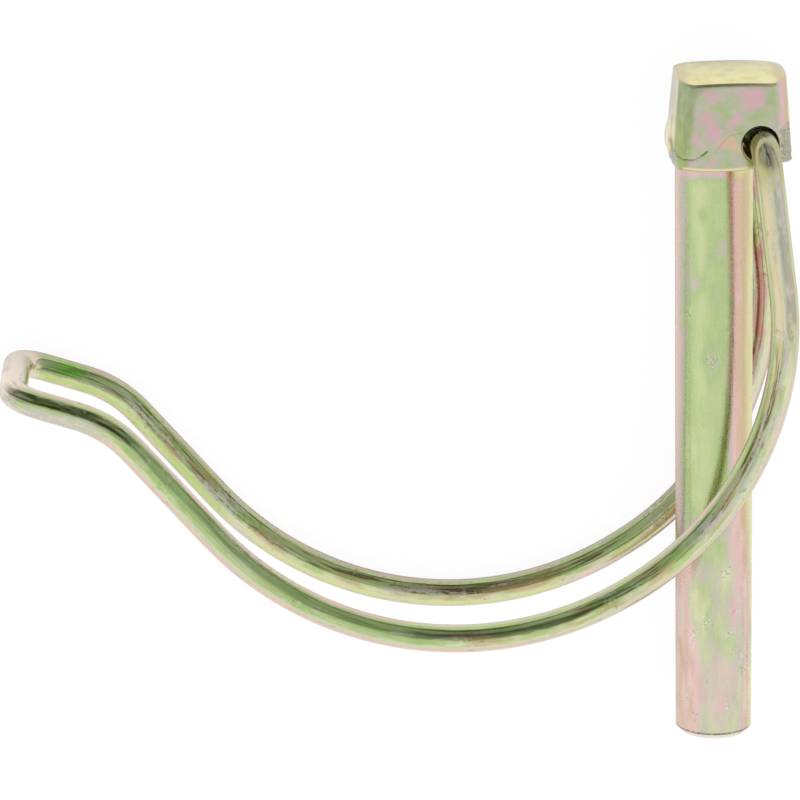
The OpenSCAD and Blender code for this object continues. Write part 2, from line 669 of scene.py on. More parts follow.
class PinMark(Enum):
    """The numbers that the pin's mesh carries for its material, one a vertex."""

    # Folds: the finish roughens them and darkens them as painted shade.
    CREASE = "crease"
    FLASH = "flash"
    CROWN = "crown"
    CORNER = "corner"
    SIDE = "side"
    INSET = "inset"
    ROSY = "rosy"
    GREEN = "green"
    LAP = "lap"
    LEDGE = "ledge"
    BORE = "bore"
    SHANK = "shank"
    PATCH = "patch"
    PATCH_FILM = "patch_film"
    KNOCKED = "knocked"


class WireMark(Enum):
    """The numbers that the wire's mesh carries for its material, one a vertex."""

    OUTER = "outer"
    UPPER = "upper"
    ALONG = "along"


# ---------------------------------------------------------------------------------------------
# Finishes
# ---------------------------------------------------------------------------------------------


class PinPlace:
    """Where a point lies on the pin, as the outputs that the pin's finish reads.

    It has the place in millimetres, whole and as x, y and z, the mesh's marks, and fine noise.
    """

    def __init__(self, tree: Tree) -> None:
        """Reads the place and the marks.

        Args:
            tree: The material's tree.
        """
        self.tree = tree
        self.place = tree.grown(tree.node("ShaderNodeTexCoord").outputs["Object"], 1 / MM)
        self.x, self.y, self.z = tree.split(self.place)
        self.marks = {mark: tree.mark(mark) for mark in PinMark}
        self.grit = tree.noise(self.place, 3.2, detail=4, rough=0.7)

    def stretched(self, share: float) -> Socket:
        """The place with its length shrunk to a share, which draws a pattern out along the shank."""
        return self.tree.join(self.x, self.tree.times(self.y, share), self.z)


@dataclass(frozen=True)
class PinFinish:
    """Chromate over bright zinc on the forged pin, with its bands, folds darkened by painted shade, knocks
    and bare flash.

    The bands give the film's thickness round the shank: an angle in degrees from the side that
    faces up as the part lies, towards +X, and the thickness there. The corner by the hinge has a
    film that thickens with the distance from the head's side, which runs from 0 to 1 over 2 mm.
    """

    rim_y: float
    middle_x: float
    name: str = "pin_chromate"
    roughness: float = 0.19
    bands: Profile = (
        (-180, 0.40), (-90, 0.46), (-74, 0.49), (-62, 0.57), (-52, 0.62), (-38, 0.72), (-24, 0.77),
        (-8, 0.74), (7, 0.72), (13, 0.70), (18, 0.50), (27, 0.39), (38, 0.36), (46, 0.28), (54, 0.21),
        (67, 0.13), (82, 0.03), (180, 0.40),
    )
    worn_bands: Profile = (
        (-180, 0.44), (-90, 0.44), (-60, 0.43), (-45, 0.46), (-34, 0.56), (-24, 0.64), (-8, 0.60),
        (14, 0.62), (28, 0.60), (38, 0.55), (46, 0.42), (56, 0.29), (67, 0.17), (82, 0.08), (180, 0.44),
    )
    worn_from: float = 52.0
    worn_to: float = 61.0
    hinge_corner_x: float = 6.0
    lip_corner_x: float = -3.0
    lip_corner: float = 0.70
    hinge_corner: Profile = (
        (0.0, 0.16), (0.14, 0.26), (0.28, 0.38), (0.42, 0.46), (0.62, 0.55), (1.0, 0.63),
    )

    def build(self, shelf: EffectShelf) -> bpy.types.Material:
        """Builds the material.

        Args:
            shelf: The shared effects.

        Returns:
            The material.
        """
        material, tree = new_finish(self.name)
        pin = PinPlace(tree)
        on_shank = pin.marks[PinMark.SHANK]
        ragged = tree.line(tree.noise(pin.place, 0.25), 14.0, tree.times(pin.y, -1.0))
        worn = tree.remap(ragged, self.worn_from, self.worn_to)

        films = zip(self.head_film(pin), self.shank_film(pin, worn))
        film, paleness = (tree.blend(on_shank, head, shank) for head, shank in films)
        colour = shelf.place(tree, Effect.CHROMATE, Thickness=film, Paleness=paleness)["Color"]
        colour = self.forged_marks_and_shade(pin, colour)
        density = tree.math("ADD", pin.marks[PinMark.KNOCKED], tree.line(worn, 0.15, 0.25))
        marked = shelf.place(tree, Effect.SPECKLE, Place=pin.place, Density=density)
        streaky = pin.stretched(0.07)
        brushed = tree.remap(tree.noise(streaky, 4.0, detail=4, rough=0.7), 0.35, 0.7, 0.0, 0.08)
        colour = tree.lay(
            colour,
            (tree.times(marked["Pits"], 0.6), paint(140, 138, 118)),
            (tree.times(marked["Chips"], 0.65), paint(236, 240, 240)),
        )
        colour = tree.mix(tree.times(brushed, on_shank), colour, paint(160, 158, 130), Blend.DARKEN)

        rough = tree.remap(pin.grit, 0.3, 0.7, self.roughness - 0.04, self.roughness + 0.07)
        for mark, more in (
            (PinMark.SHANK, 0.04), (PinMark.FLASH, 0.16), (PinMark.CREASE, 0.2), (PinMark.BORE, 0.6),
        ):
            rough = tree.line(pin.marks[mark], more, rough)

        drawn = shelf.place(tree, Effect.DRAWN, Place=streaky, Fineness=1.6)["Height"]
        drawn = tree.times(drawn, on_shank, 0.7)
        knocks = tree.times(tree.noise(pin.place, 0.8, detail=1), 0.6)
        height = tree.math("ADD", drawn, tree.line(marked["Pits"], -0.8, knocks))
        metal = tree.line(pin.marks[PinMark.BORE], -0.7, 1.0)
        finish_metal(tree, colour, rough, tree.bump(height, 0.35, 0.06), metal)
        return material

    def shank_film(self, pin: PinPlace, worn: object) -> tuple[Socket, Socket]:
        """Film on the shank: lengthwise bands with patches, a rosy collar by the head, a pale end.

        Args:
            pin: The place on the pin.
            worn: How worn the shank is there, from 0 near the head to 1 towards the tip.

        Returns:
            The film's thickness and its paleness.
        """
        tree = pin.tree
        swing = tree.swing(pin.stretched(0.3), 0.6, detail=2)
        angle = tree.line(tree.swing(pin.stretched(0.12), 0.4), 0.5, tree.math("ARCTAN2", pin.x, pin.z))
        turn = tree.line(tree.line(swing, 0.25, angle), 0.5 / math.pi, 0.5)
        fresh, old = (
            tree.profile(turn, ((degrees / 360 + 0.5, thickness) for degrees, thickness in bands))
            for bands in (self.bands, self.worn_bands)
        )
        film = tree.blend(worn, tree.line(swing, 0.18, fresh), tree.line(swing, 0.5, old))
        patched = tree.line(swing, 0.25, pin.marks[PinMark.PATCH_FILM])
        film = tree.blend(pin.marks[PinMark.PATCH], film, patched)
        collar = tree.remap(tree.line(swing, 2.0, pin.y), -1.8, -0.4, 0.0, 0.85)
        film = tree.blend(collar, film, tree.remap(pin.x, 0.5, 3.0, 0.44, 0.2))
        edges = tree.remap(pin.x, -4.4, -4.95, 0.1, 0.5)
        return film, tree.blend(worn, edges, tree.line(swing, 1.2, 0.3))

    def head_film(self, pin: PinPlace) -> tuple[Socket, Socket]:
        """Film on the head: uneven on the faces, straw on the crown, thin on the sides.

        Args:
            pin: The place on the pin.

        Returns:
            The film's thickness and its paleness.
        """
        tree = pin.tree
        swing = tree.swing(pin.place, 0.55, detail=2)
        mottle = tree.swing(pin.place, 1.6, detail=2)
        face = tree.line(swing, 0.22, tree.line(mottle, 0.12, 0.60))
        hinge = tree.remap(pin.x, self.lip_corner_x, self.hinge_corner_x)
        corner = tree.profile(pin.marks[PinMark.INSET], self.hinge_corner)
        corner = tree.line(swing, 0.3, tree.blend(hinge, self.lip_corner, corner))
        film = tree.blend(pin.marks[PinMark.CORNER], face, corner)
        side = tree.line(swing, 0.1, tree.blend(hinge, 0.0, 0.2))
        film = tree.blend(pin.marks[PinMark.SIDE], film, side)
        to_end = tree.remap(tree.math("ABSOLUTE", tree.math("SUBTRACT", pin.x, self.middle_x)), 4.6, 8.0)
        crown = tree.line(swing, -0.3, tree.line(to_end, 0.24, 0.13))
        film = tree.blend(pin.marks[PinMark.CROWN], film, crown)
        paleness = tree.blend(pin.marks[PinMark.CORNER], 0.06, 0.02)
        paleness = tree.blend(pin.marks[PinMark.SIDE], paleness, 0.05)
        return film, tree.blend(pin.marks[PinMark.CROWN], paleness, tree.times(to_end, 0.6))

    def forged_marks_and_shade(self, pin: PinPlace, colour: object) -> Socket:
        """Lays marks over the film: clouds, an olive corner partly darkened as painted shade, lap, edges,
        bare spots and painted shade in the creases.

        Args:
            pin: The place on the pin.
            colour: The film's colour.

        Returns:
            The colour with the marks.
        """
        tree = pin.tree
        marks = pin.marks
        on_face = tree.rest(tree.larger(marks[PinMark.CORNER], marks[PinMark.SHANK]))
        # Olive film on the facet away from the hinge, partly darkened as painted shade where it mirrors
        # little light.
        facet = tree.times(
            marks[PinMark.CORNER],
            tree.remap(pin.x, self.hinge_corner_x, self.lip_corner_x, 0.0, 0.85),
            tree.rest(marks[PinMark.SIDE]),
            tree.rest(marks[PinMark.CROWN]),
        )
        olive = tree.mix(tree.remap(pin.y, 3.0, 10.0), paint(180, 193, 132), paint(175, 180, 152))
        mottle = tree.noise(pin.stretched(0.35), 1.3, detail=3)
        olive = tree.mix(tree.remap(mottle, 0.42, 0.6, 0.0, 0.6), olive, paint(150, 164, 112))
        off_rim = tree.math("ABSOLUTE", tree.math("SUBTRACT", pin.y, self.rim_y))
        rim = tree.times(tree.remap(off_rim, 0.24, 0.08), tree.remap(pin.grit, 0.35, 0.55, 0.2, 0.85))
        bare = ((0.3, paint(130, 126, 104)), (0.45, paint(178, 175, 152)), (0.65, paint(205, 202, 180)))
        return tree.lay(
            colour,
            (tree.times(marks[PinMark.GREEN], on_face, 0.7), paint(172, 200, 136)),
            (tree.times(marks[PinMark.ROSY], on_face, 0.75), paint(230, 182, 194)),
            (tree.times(marks[PinMark.LAP], 0.85), paint(228, 194, 166)),
            (facet, olive),
            (tree.times(marks[PinMark.LEDGE], 0.8), paint(240, 228, 176)),
            (tree.remap(pin.y, self.rim_y, self.rim_y - 0.1), paint(244, 234, 216)),
            (rim, paint(96, 88, 62)),
            (marks[PinMark.FLASH], tree.ramp(pin.grit, bare)),
            (marks[PinMark.BORE], paint(236, 212, 150)),
            # Painted shade: dark brown in the folds, along the crown's front edge and by the ear.
            (marks[PinMark.CREASE], paint(104, 82, 50)),
        )


@dataclass(frozen=True)
class Stripe:
    """A stripe of another colour along the wire.

    The run is measured along the wire from the closed end's middle, below zero on the upper leg,
    and the side goes from -1 inside the bends to 1 outside them.
    """

    run: tuple[float, float]
    side: tuple[float, float]
    colour: tuple[float, float, float]
    share: float
    blend: Blend = Blend.COVER


class WirePlace:
    """Where a point lies on the wire, as the outputs that the wire's finish reads.

    The outer value goes from -1 inside the bends to 1 outside them, the upper one from -1 to 1
    across them, and turn is the outer one with a waver. Along is measured from the upper leg's end
    in the hole, and from_end from the closed end's middle, below zero on the upper leg. The leads
    are the straights by the pin, end is the closed end, and quiet is where the wire has less green
    and fewer painted reflection streaks. Lines and patch are noise.
    """

    def __init__(self, tree: Tree, length: float, lead_len: float, end_reach: float) -> None:
        """Reads the marks and lays out the zones and the patterns.

        Args:
            tree: The material's tree.
            length: Length of the wire.
            lead_len: Where the upper lead ends, counted from the wire's end in the hole.
            end_reach: Half the length of the closed end.
        """
        self.tree = tree
        self.outer, self.upper, self.along = (tree.mark(mark) for mark in WireMark)
        self.from_end = tree.math("SUBTRACT", self.along, length / 2)
        self.upper_lead = tree.remap(self.along, lead_len + 8, lead_len)
        lower_lead = tree.remap(self.from_end, length / 2 - 9, length / 2 - 5)
        self.lead = tree.larger(self.upper_lead, lower_lead)
        self.end = tree.remap(tree.math("ABSOLUTE", self.from_end), end_reach + 2, end_reach - 2)
        self.quiet = tree.larger(self.end, self.lead, tree.remap(self.from_end, 98, 110))
        self.turn = tree.line(tree.swing(self.drawn_out(0.3), 1.6, detail=4, rough=0.6), 0.35, self.outer)
        self.lines = tree.noise(self.drawn_out(0.03), 4.2, detail=3, rough=0.65)
        self.patch = tree.noise(self.drawn_out(0.2), 2.0, detail=3)

    def drawn_out(self, share: float) -> Socket:
        """The place with its length shrunk to a share, which draws a pattern out along the wire."""
        return self.tree.join(self.outer, self.upper, self.tree.times(self.along, share))


@dataclass(frozen=True)
class WireFinish:
    """Chromate over bright zinc on drawn wire: thick and green inside the bends, pale outside.

    The sides give the film's thickness from the bends' inner side, -1, to their outer side, 1.
    The stains give how brown the lower leg is by the distance from the closed end's middle. Runs
    are measured as a stripe's is, apart from the elbow's, which count from the wire's end. The
    clean ones have few brown lines, and each has its soft border's half width as a third number.
    The faint streak run has fewer of the painted reflection streaks.
    """

    length: float
    name: str = "wire_chromate"
    roughness: float = 0.15
    sides: Profile = (
        (-1.0, 0.60), (-0.93, 0.66), (-0.8, 0.72), (-0.6, 0.70), (-0.35, 0.66), (-0.1, 0.68), (0.15, 0.72),
        (0.35, 0.74), (0.5, 0.66), (0.6, 0.60), (0.8, 0.60), (0.9, 0.58), (1.0, 0.34),
    )
    lead_sides: Profile = (
        (-1.0, 0.70), (-0.75, 0.74), (-0.45, 0.77), (0.0, 0.70), (0.3, 0.60), (0.6, 0.59), (0.85, 0.70),
        (1.0, 0.78),
    )
    lead_len: float = 30.0
    stains: Profile = (
        (66.7, 0.0), (75.6, 0.7), (87.8, 0.7), (92.3, 0.25), (108.9, 0.25), (122.3, 1.0), (157.8, 1.0),
        (166.7, 0.3),
    )
    stripes: tuple[Stripe, ...] = (
        Stripe((-70, -12), (-1.5, -0.92), (232, 186, 176), 0.5),
        Stripe((12, 72), (-1.5, -0.92), (232, 186, 176), 0.5),
        Stripe((-74, -24), (-0.85, 0.3), (162, 190, 120), 0.6),
        Stripe((-46, -25), (-0.75, -0.1), (180, 210, 146), 0.6),
        Stripe((-78, -26), (0.3, 0.52), (198, 222, 178), 0.6),
        Stripe((-86, -20), (0.52, 0.88), (242, 204, 194), 0.75),
        Stripe((-78, -20), (0.92, 1.5), (236, 216, 160), 0.7),
        Stripe((-160, -116), (-0.75, -0.25), (226, 196, 164), 0.5),
        Stripe((-158, -112), (-0.15, 0.15), (206, 200, 206), 0.5),
        # Painted reflection: a dark olive core on the upper leg's tab, where the wire mirrors something dark
        # overhead.
        Stripe((-25, -9), (-0.72, -0.25), (84, 88, 60), 0.8, Blend.DARKEN),
        Stripe((12.5, 17), (-0.9, -0.05), (136, 208, 84), 1.0),
        Stripe((12, 44), (0.2, 0.78), (184, 214, 116), 0.75),
        Stripe((10, 46), (-0.1, 0.12), (130, 126, 114), 0.6),
        Stripe((10, 36), (0.82, 1.5), (248, 186, 188), 0.85),
        Stripe((48, 92), (0.35, 0.85), (222, 228, 158), 0.7),
        # Painted reflection: dark cores inside both bellies, where the wire mirrors the dark slot.
        Stripe((-94, -70), (-0.58, -0.12), (120, 124, 104), 0.5, Blend.DARKEN),
        Stripe((74, 92), (-0.6, -0.1), (176, 160, 128), 0.6, Blend.DARKEN),
    )
    rosy_from: float = 106.0
    end_reach: float = 9.5
    rubbed_run: tuple[float, float] = (-21.0, -3.0)
    clean_runs: tuple[tuple[float, float, float], ...] = ((-74.0, -18.0, 3.0), (10.0, 20.0, 2.0))
    # Stretch of the upper leg where the painted reflection streaks are fainter.
    faint_streak_run: tuple[float, float] = (-90.0, -24.0)
    # Painted shade: the elbow where the wire comes out of the pin's cross hole is darkened over these runs,
    # counted from the wire's end.
    elbow_run: tuple[float, float] = (5.0, 12.5)
    elbow_core: tuple[float, float] = (9.0, 10.8)

    def build(self, shelf: EffectShelf) -> bpy.types.Material:
        """Builds the material.

        Args:
            shelf: The shared effects.

        Returns:
            The material.
        """
        material, tree = new_finish(self.name)
        wire = WirePlace(tree, self.length, self.lead_len, self.end_reach)
        film, paleness = self.film(wire)
        colour = shelf.place(tree, Effect.CHROMATE, Thickness=film, Paleness=paleness)["Color"]
        vivid = tree.times(
            tree.remap(wire.outer, -0.95, -0.75),
            tree.remap(wire.outer, 0.5, 0.3),
            tree.remap(tree.noise(wire.drawn_out(0.16), 1.5, detail=3), 0.48, 0.6),
            tree.math("SUBTRACT", 0.6, tree.times(wire.quiet, 0.5)),
        )
        colour = tree.lay(
            colour, (tree.times(wire.end, 0.9), paint(255, 240, 222)), (vivid, paint(164, 200, 108)),
        )
        colour = self.striped(wire, colour)
        colour = self.tarnish(wire, colour)
        colour = self.darkened(wire, colour)

        scuffed = self.scuffs(wire)
        marked = shelf.place(tree, Effect.SPECKLE, Place=wire.drawn_out(0.4), Density=0.62)
        colour = tree.lay(
            colour,
            (tree.times(scuffed, 0.75), paint(204, 204, 194)),
            (tree.times(marked["Pits"], 0.45), paint(120, 114, 88)),
            (tree.times(marked["Chips"], 0.5), paint(218, 218, 204)),
        )
        rough = tree.remap(wire.lines, 0.3, 0.7, self.roughness - 0.04, self.roughness + 0.06)
        rough = tree.line(scuffed, 0.22, rough)
        drawn = shelf.place(tree, Effect.DRAWN, Place=wire.drawn_out(0.03), Fineness=3.0)["Height"]
        height = tree.line(marked["Pits"], -0.8, drawn)
        finish_metal(tree, colour, rough, tree.bump(height, 0.25, 0.04), 1.0)
        return material

    def film(self, wire: WirePlace) -> tuple[Socket, Socket]:
        """Film on the wire: bands by the side, others on the leads, an even one on the closed end.

        Args:
            wire: The place on the wire.

        Returns:
            The film's thickness and its paleness.
        """
        tree = wire.tree
        drift = tree.swing(wire.drawn_out(0.12), 1.2, detail=3, rough=0.55)
        lines = tree.math("SUBTRACT", wire.lines, 0.5)
        sway = tree.larger(tree.remap(wire.outer, -0.2, 0.4, 0.35, 1.0), tree.remap(wire.outer, -0.8, -0.95))
        film = tree.line(drift, sway, tree.across(wire.turn, self.sides))
        film = tree.math("MULTIPLY_ADD", lines, 0.22, film, clamp=True)
        pale_side = tree.math("ADD", tree.math("SUBTRACT", wire.patch, 0.5), wire.outer)
        pale_edge = tree.remap(wire.outer, -0.9, -1.0, 0.0, 0.6)
        paleness = tree.larger(tree.remap(pale_side, -0.2, 0.35, 0.04, 0.5), pale_edge)
        on_lead = tree.line(lines, 0.35, tree.across(wire.turn, self.lead_sides))
        film = tree.blend(wire.lead, film, tree.line(drift, 0.45, on_lead))
        paleness = tree.blend(wire.lead, paleness, 0.45)
        film = tree.blend(wire.end, film, tree.line(drift, 0.12, 0.46))
        return film, tree.blend(wire.end, paleness, 0.75)

    def striped(self, wire: WirePlace, colour: object) -> Socket:
        """Lays the stripes, worn through in places.

        Args:
            wire: The place on the wire.
            colour: The film's colour.

        Returns:
            The colour with the stripes.
        """
        tree = wire.tree
        worn_through = tree.remap(tree.noise(wire.drawn_out(0.12), 2.4, detail=3), 0.38, 0.5, 0.45, 1.0)
        for stripe in self.stripes:
            side = tree.window(wire.turn, *stripe.side, 0.07)
            run = tree.window(wire.from_end, *stripe.run, 1.5)
            share = tree.times(side, run, worn_through, stripe.share)
            colour = tree.mix(share, colour, paint(*stripe.colour), stripe.blend)
        return colour

    def tarnish(self, wire: WirePlace, colour: object) -> Socket:
        """Lays brown lines on both legs' upper side, and brown to rosy patches on the lower leg.

        Args:
            wire: The place on the wire.
            colour: The colour so far.

        Returns:
            The colour with the tarnish.
        """
        tree = wire.tree
        middle = tree.remap(tree.math("ABSOLUTE", tree.math("ADD", wire.outer, 0.25)), 0.7, 0.35)
        leg_len = self.length / 2
        leg = tree.times(wire.from_end, 1 / leg_len)
        leg = tree.profile(leg, ((distance / leg_len, brown) for distance, brown in self.stains))
        noise = tree.noise(wire.drawn_out(0.14), 1.2, detail=2)
        patches = tree.times(leg, middle, tree.remap(noise, 0.36, 0.56), 0.85)
        clean = [tree.window(wire.from_end, *run) for run in self.clean_runs]
        few = tree.line(tree.larger(wire.upper_lead, *clean), -0.8, 1.0)
        lines = tree.times(tree.remap(noise, 0.5, 0.62, 0.0, 0.5), middle, few)
        rosy = tree.remap(wire.from_end, self.rosy_from, self.rosy_from + 15)
        brown = tree.mix(rosy, paint(190, 152, 116), paint(212, 146, 160))
        return tree.mix(tree.larger(patches, lines), colour, brown)

    def darkened(self, wire: WirePlace, colour: object) -> Socket:
        """Darkens the wire: painted reflection streaks inside the bends, the rubbed upper lead, and painted
        shade on the elbow and the outer edge.

        Args:
            wire: The place on the wire.
            colour: The colour so far.

        Returns:
            The darkened colour.
        """
        tree = wire.tree
        outer = wire.outer
        # Painted reflection: dark streaks inside the bends stand in for the dark slot that the wire mirrors,
        # fainter along one stretch of the upper leg.
        fresh = tree.window(wire.from_end, *self.faint_streak_run, 4.0)
        streaks = tree.times(
            tree.remap(outer, 0.1, -0.3),
            tree.remap(outer, -0.9, -0.7),
            tree.math("SUBTRACT", 0.9, tree.times(wire.quiet, 0.8)),
            tree.line(fresh, -0.6, 1.0),
            tree.remap(tree.noise(wire.drawn_out(0.025), 5.0, detail=3, rough=0.6), 0.5, 0.6),
        )
        rubbed = tree.times(
            tree.remap(outer, -0.2, 0.2),
            tree.remap(outer, 0.85, 0.6),
            wire.upper_lead,
            tree.remap(wire.patch, 0.3, 0.55, 0.4, 1.0),
            tree.remap(wire.along, 11.0, 14.0),
        )
        # Painted shade: the elbow, and more strongly its core, is darkened where the wire sits in the mouth
        # of the cross hole.
        elbow = tree.times(tree.window(wire.along, *self.elbow_run, 2.0), 0.8)
        core = tree.window(wire.along, *self.elbow_core, 0.8)
        core = tree.times(tree.window(outer, -0.2, 0.15, 0.12), core, 0.85)
        # Painted shade: the outer edge is darkened to dim the floor that it mirrors.
        edge = tree.times(tree.remap(outer, 0.84, 0.97), tree.rest(wire.end))
        return tree.lay(
            colour,
            (streaks, paint(142, 134, 106)),
            (rubbed, paint(207, 209, 212)),
            (elbow, paint(222, 212, 184)),
            (core, paint(112, 104, 76)),
            (edge, paint(226, 222, 212)),
            blend=Blend.DARKEN,
        )

    def scuffs(self, wire: WirePlace) -> Socket:
        """Rubbed patches: here and there along the wire, and by the closed end's upper corner.

        Args:
            wire: The place on the wire.

        Returns:
            How rubbed the place is.
        """
        tree = wire.tree
        patches = tree.remap(tree.noise(wire.drawn_out(0.06), 1.5, detail=2), 0.58, 0.64)
        corner = tree.window(wire.from_end, *self.rubbed_run, 2.0)
        corner = tree.times(corner, tree.window(wire.outer, -0.1, 0.9, 0.15))
        scratches = tree.remap(tree.noise(wire.drawn_out(0.3), 4.0, detail=3, rough=0.6), 0.4, 0.54)
        return tree.times(tree.larger(patches, corner), scratches)


# ---------------------------------------------------------------------------------------------
# The forged pin
# ---------------------------------------------------------------------------------------------


@dataclass
class ForgedPin:
    """The shank, its bevelled tip and the forged head with its flash, folds and cross hole.

    The patches on the shank each have a middle x and y, half a width and half a length, and the
    film's thickness in it. The search for the head's surface runs out from a point on the shank's
    axis at heart_y, as far as reach.
    """

    shank_r: float
    shank_len: float
    head_h: float
    hole_x: float = 5.1
    hole_y: float = 3.4
    hole_r: float = 2.3
    hole_edge: float = 0.2
    tip_bevel: float = 0.8
    head_w: float = 15.4
    head_d: float = 14.0
    head_lip: float = 1.0
    face_draft_deg: float = 3.8
    lip_draft_deg: float = 4.8
    hinge_draft_deg: float = 2.6
    blank_r: float = 8.2
    blank_lean_deg: float = 7.5
    blank_shift: float = 0.6
    crown_r: float = 26.0
    crown_wide_r: float = 100.0
    crown_back: float = 2.5
    seat_w: float = 1.6
    seat_min: float = 0.2
    seat_rise_deg: float = 15.0
    flash_t: float = 2.0
    flash_out: float = 0.7
    flash_trim: float = 0.2
    flash_h: float = 7.2
    flash_fade: float = 2.4
    flash_foot: float = 1.0
    flash_bevel: float = 3.3
    fold_line: Line = (
        (-5.75, 3.4), (-5.55, 2.5), (-5.2, 1.95), (-4.5, 1.7), (-3.7, 1.7), (-3.0, 1.85), (-2.3, 2.2),
        (-1.7, 2.7),
    )
    lap_line: Line = ((-0.7, 2.6), (0.3, 3.9), (1.2, 4.7), (3.0, 5.1))
    lap_clouds: Spots = ((1.0, 4.3, 0.6), (1.4, 3.5, 0.8), (2.2, 2.9, 0.9), (0.5, 3.1, 0.6))
    rosy_clouds: Spots = (
        (-2.4, 10.5, 0.9), (-1.2, 10.7, 0.8), (-0.7, 9.0, 0.7), (2.9, 9.7, 1.0), (4.6, 9.5, 1.2),
        (3.8, 8.4, 0.8), (-1.6, 6.6, 0.7), (-1.2, 5.6, 0.8), (1.7, 6.0, 0.7), (2.3, 6.8, 0.6),
        (-0.6, 4.8, 0.8), (-3.4, 4.4, 0.6), (-1.2, 1.6, 0.5),
    )
    green_clouds: Spots = (
        (-4.0, 8.8, 0.7), (-4.1, 6.6, 0.7), (-4.3, 4.0, 0.8), (-4.4, 2.8, 0.7), (-3.5, 10.8, 0.6),
        (0.4, 7.4, 0.8), (-0.6, 8.0, 0.6), (1.2, 6.9, 0.5), (4.4, 7.0, 0.9), (5.6, 7.3, 0.8),
        (6.0, 10.4, 0.7), (6.4, 9.0, 0.6), (2.9, 4.9, 0.6), (-2.4, 2.4, 0.6), (0.8, 1.2, 0.8),
        (3.2, 1.3, 0.6),
    )
    patches: tuple[tuple[float, float, float, float, float], ...] = (
        (-2.5, -15.0, 0.5, 0.9, 0.59), (-1.8, -5.8, 0.6, 0.8, 0.64), (0.2, -10.0, 0.9, 1.4, 0.62),
        (0.6, -17.0, 1.2, 6.0, 0.65), (-1.0, -25.0, 1.0, 2.4, 0.66), (-2.8, -38.0, 1.0, 6.0, 0.78),
        (1.6, -44.0, 0.8, 5.0, 0.60), (-3.2, -49.0, 0.8, 3.0, 0.50), (-2.1, -57.5, 1.3, 3.2, 0.78),
        (0.1, -61.8, 0.9, 2.2, 0.69), (1.7, -63.4, 1.0, 1.6, 0.74), (3.2, -64.5, 0.6, 5.0, 0.61),
        (-3.4, -64.5, 1.2, 4.0, 0.45), (0.6, -65.8, 1.5, 1.5, 0.51), (-1.6, -69.8, 1.0, 2.6, 0.57),
        (0.3, -70.6, 1.2, 4.2, 0.50), (-3.9, -72.8, 1.2, 2.6, 0.42), (2.3, -71.8, 1.0, 3.0, 0.64),
        (4.5, -68.5, 0.6, 3.6, 0.16), (4.6, -62.0, 0.5, 1.4, 0.38),
    )
    knocks: Spots = (
        (-1.6, -60.2, 0.8), (3.1, -65.4, 0.9), (2.3, -58.4, 0.7), (-3.0, -61.6, 0.5), (-2.6, -72.0, 0.5),
        (2.4, -70.0, 0.6), (-1.0, -25.0, 0.9), (-2.4, -33.0, 0.5), (2.0, -20.5, 0.4), (1.2, -41.0, 0.6),
        (-1.0, -49.0, 0.7), (0.8, -53.0, 0.6),
    )
    heart_y: float = 5.5
    head_columns: int = 400
    head_rows: int = 200
    shank_columns: int = 100
    shank_step: float = 0.4
    hole_sides: int = 96
    reach: float = 16.0
    search_steps: int = 26
    sharp_deg: float = 34.0

    @property
    def left(self) -> float:
        """X of the head's side away from the hinge, at the underside."""
        return -self.shank_r - self.head_lip

    @property
    def right(self) -> float:
        """X of the head's side by the hinge, at the underside."""
        return self.left + self.head_w

    @property
    def middle(self) -> float:
        """X of the head's middle."""
        return (self.left + self.right) / 2

    def lip_x(self, height: float) -> float:
        """X of the side away from the hinge, at a height over the underside."""
        return self.left + height * math.tan(math.radians(self.lip_draft_deg))

    def hinge_side_x(self, height: float) -> float:
        """X of the side by the hinge, at a height over the underside."""
        return self.right - height * math.tan(math.radians(self.hinge_draft_deg))

    def pressed(self, points: np.ndarray) -> dict[str, np.ndarray]:
        """Distance fields of the head's own faces, below zero inside.

        Args:
            points: Points, one row each.

        Returns:
            One field for each face or pair of faces.
        """
        x, y, z = points.T
        draft = math.radians(self.face_draft_deg)
        lean = math.radians(self.blank_lean_deg)
        rise = math.radians(self.seat_rise_deg)
        blank = self.blank_r - (y - self.head_h / 2) * math.tan(lean)
        hub_r = self.crown_wide_r - self.crown_r
        from_hub = np.hypot(x - self.middle, y - self.head_h + self.crown_wide_r) - hub_r
        seat = np.maximum(np.hypot(x, z) - self.shank_r - self.seat_w, 0) * math.tan(rise)
        lip = self.beyond(x, y, (self.left, 0), (self.lip_x(self.head_h), self.head_h))
        hinge_side = -self.beyond(x, y, (self.right, 0), (self.hinge_side_x(self.head_h), self.head_h))
        return {
            "faces": (np.abs(z) + y * math.tan(draft) - self.head_d / 2) * math.cos(draft),
            "sides": np.maximum(lip, hinge_side),
            "blank": (np.hypot(x - self.middle, z - self.blank_shift) - blank) * math.cos(lean),
            "crown": np.hypot(from_hub, z + self.crown_back) - self.crown_r,
            "seat": (seat - y) * math.cos(rise),
            "bevel": self.beyond(x, y, (-self.shank_r - self.seat_min, 0),
                                 (self.lip_x(self.flash_bevel), self.flash_bevel)),
        }

    def beyond(self, x: np.ndarray, y: np.ndarray, low: tuple[float, float],
               high: tuple[float, float]) -> np.ndarray:
        """Distance to the left of a line that runs upwards.

        Args:
            x: X of the points.
            y: Y of the points.
            low: Lower end of the line.
            high: Upper end of the line.

        Returns:
            One distance a point, above zero on the left.
        """
        run = math.hypot(high[0] - low[0], high[1] - low[1])
        return ((low[0] - x) * (high[1] - low[1]) + (y - low[1]) * (high[0] - low[0])) / run

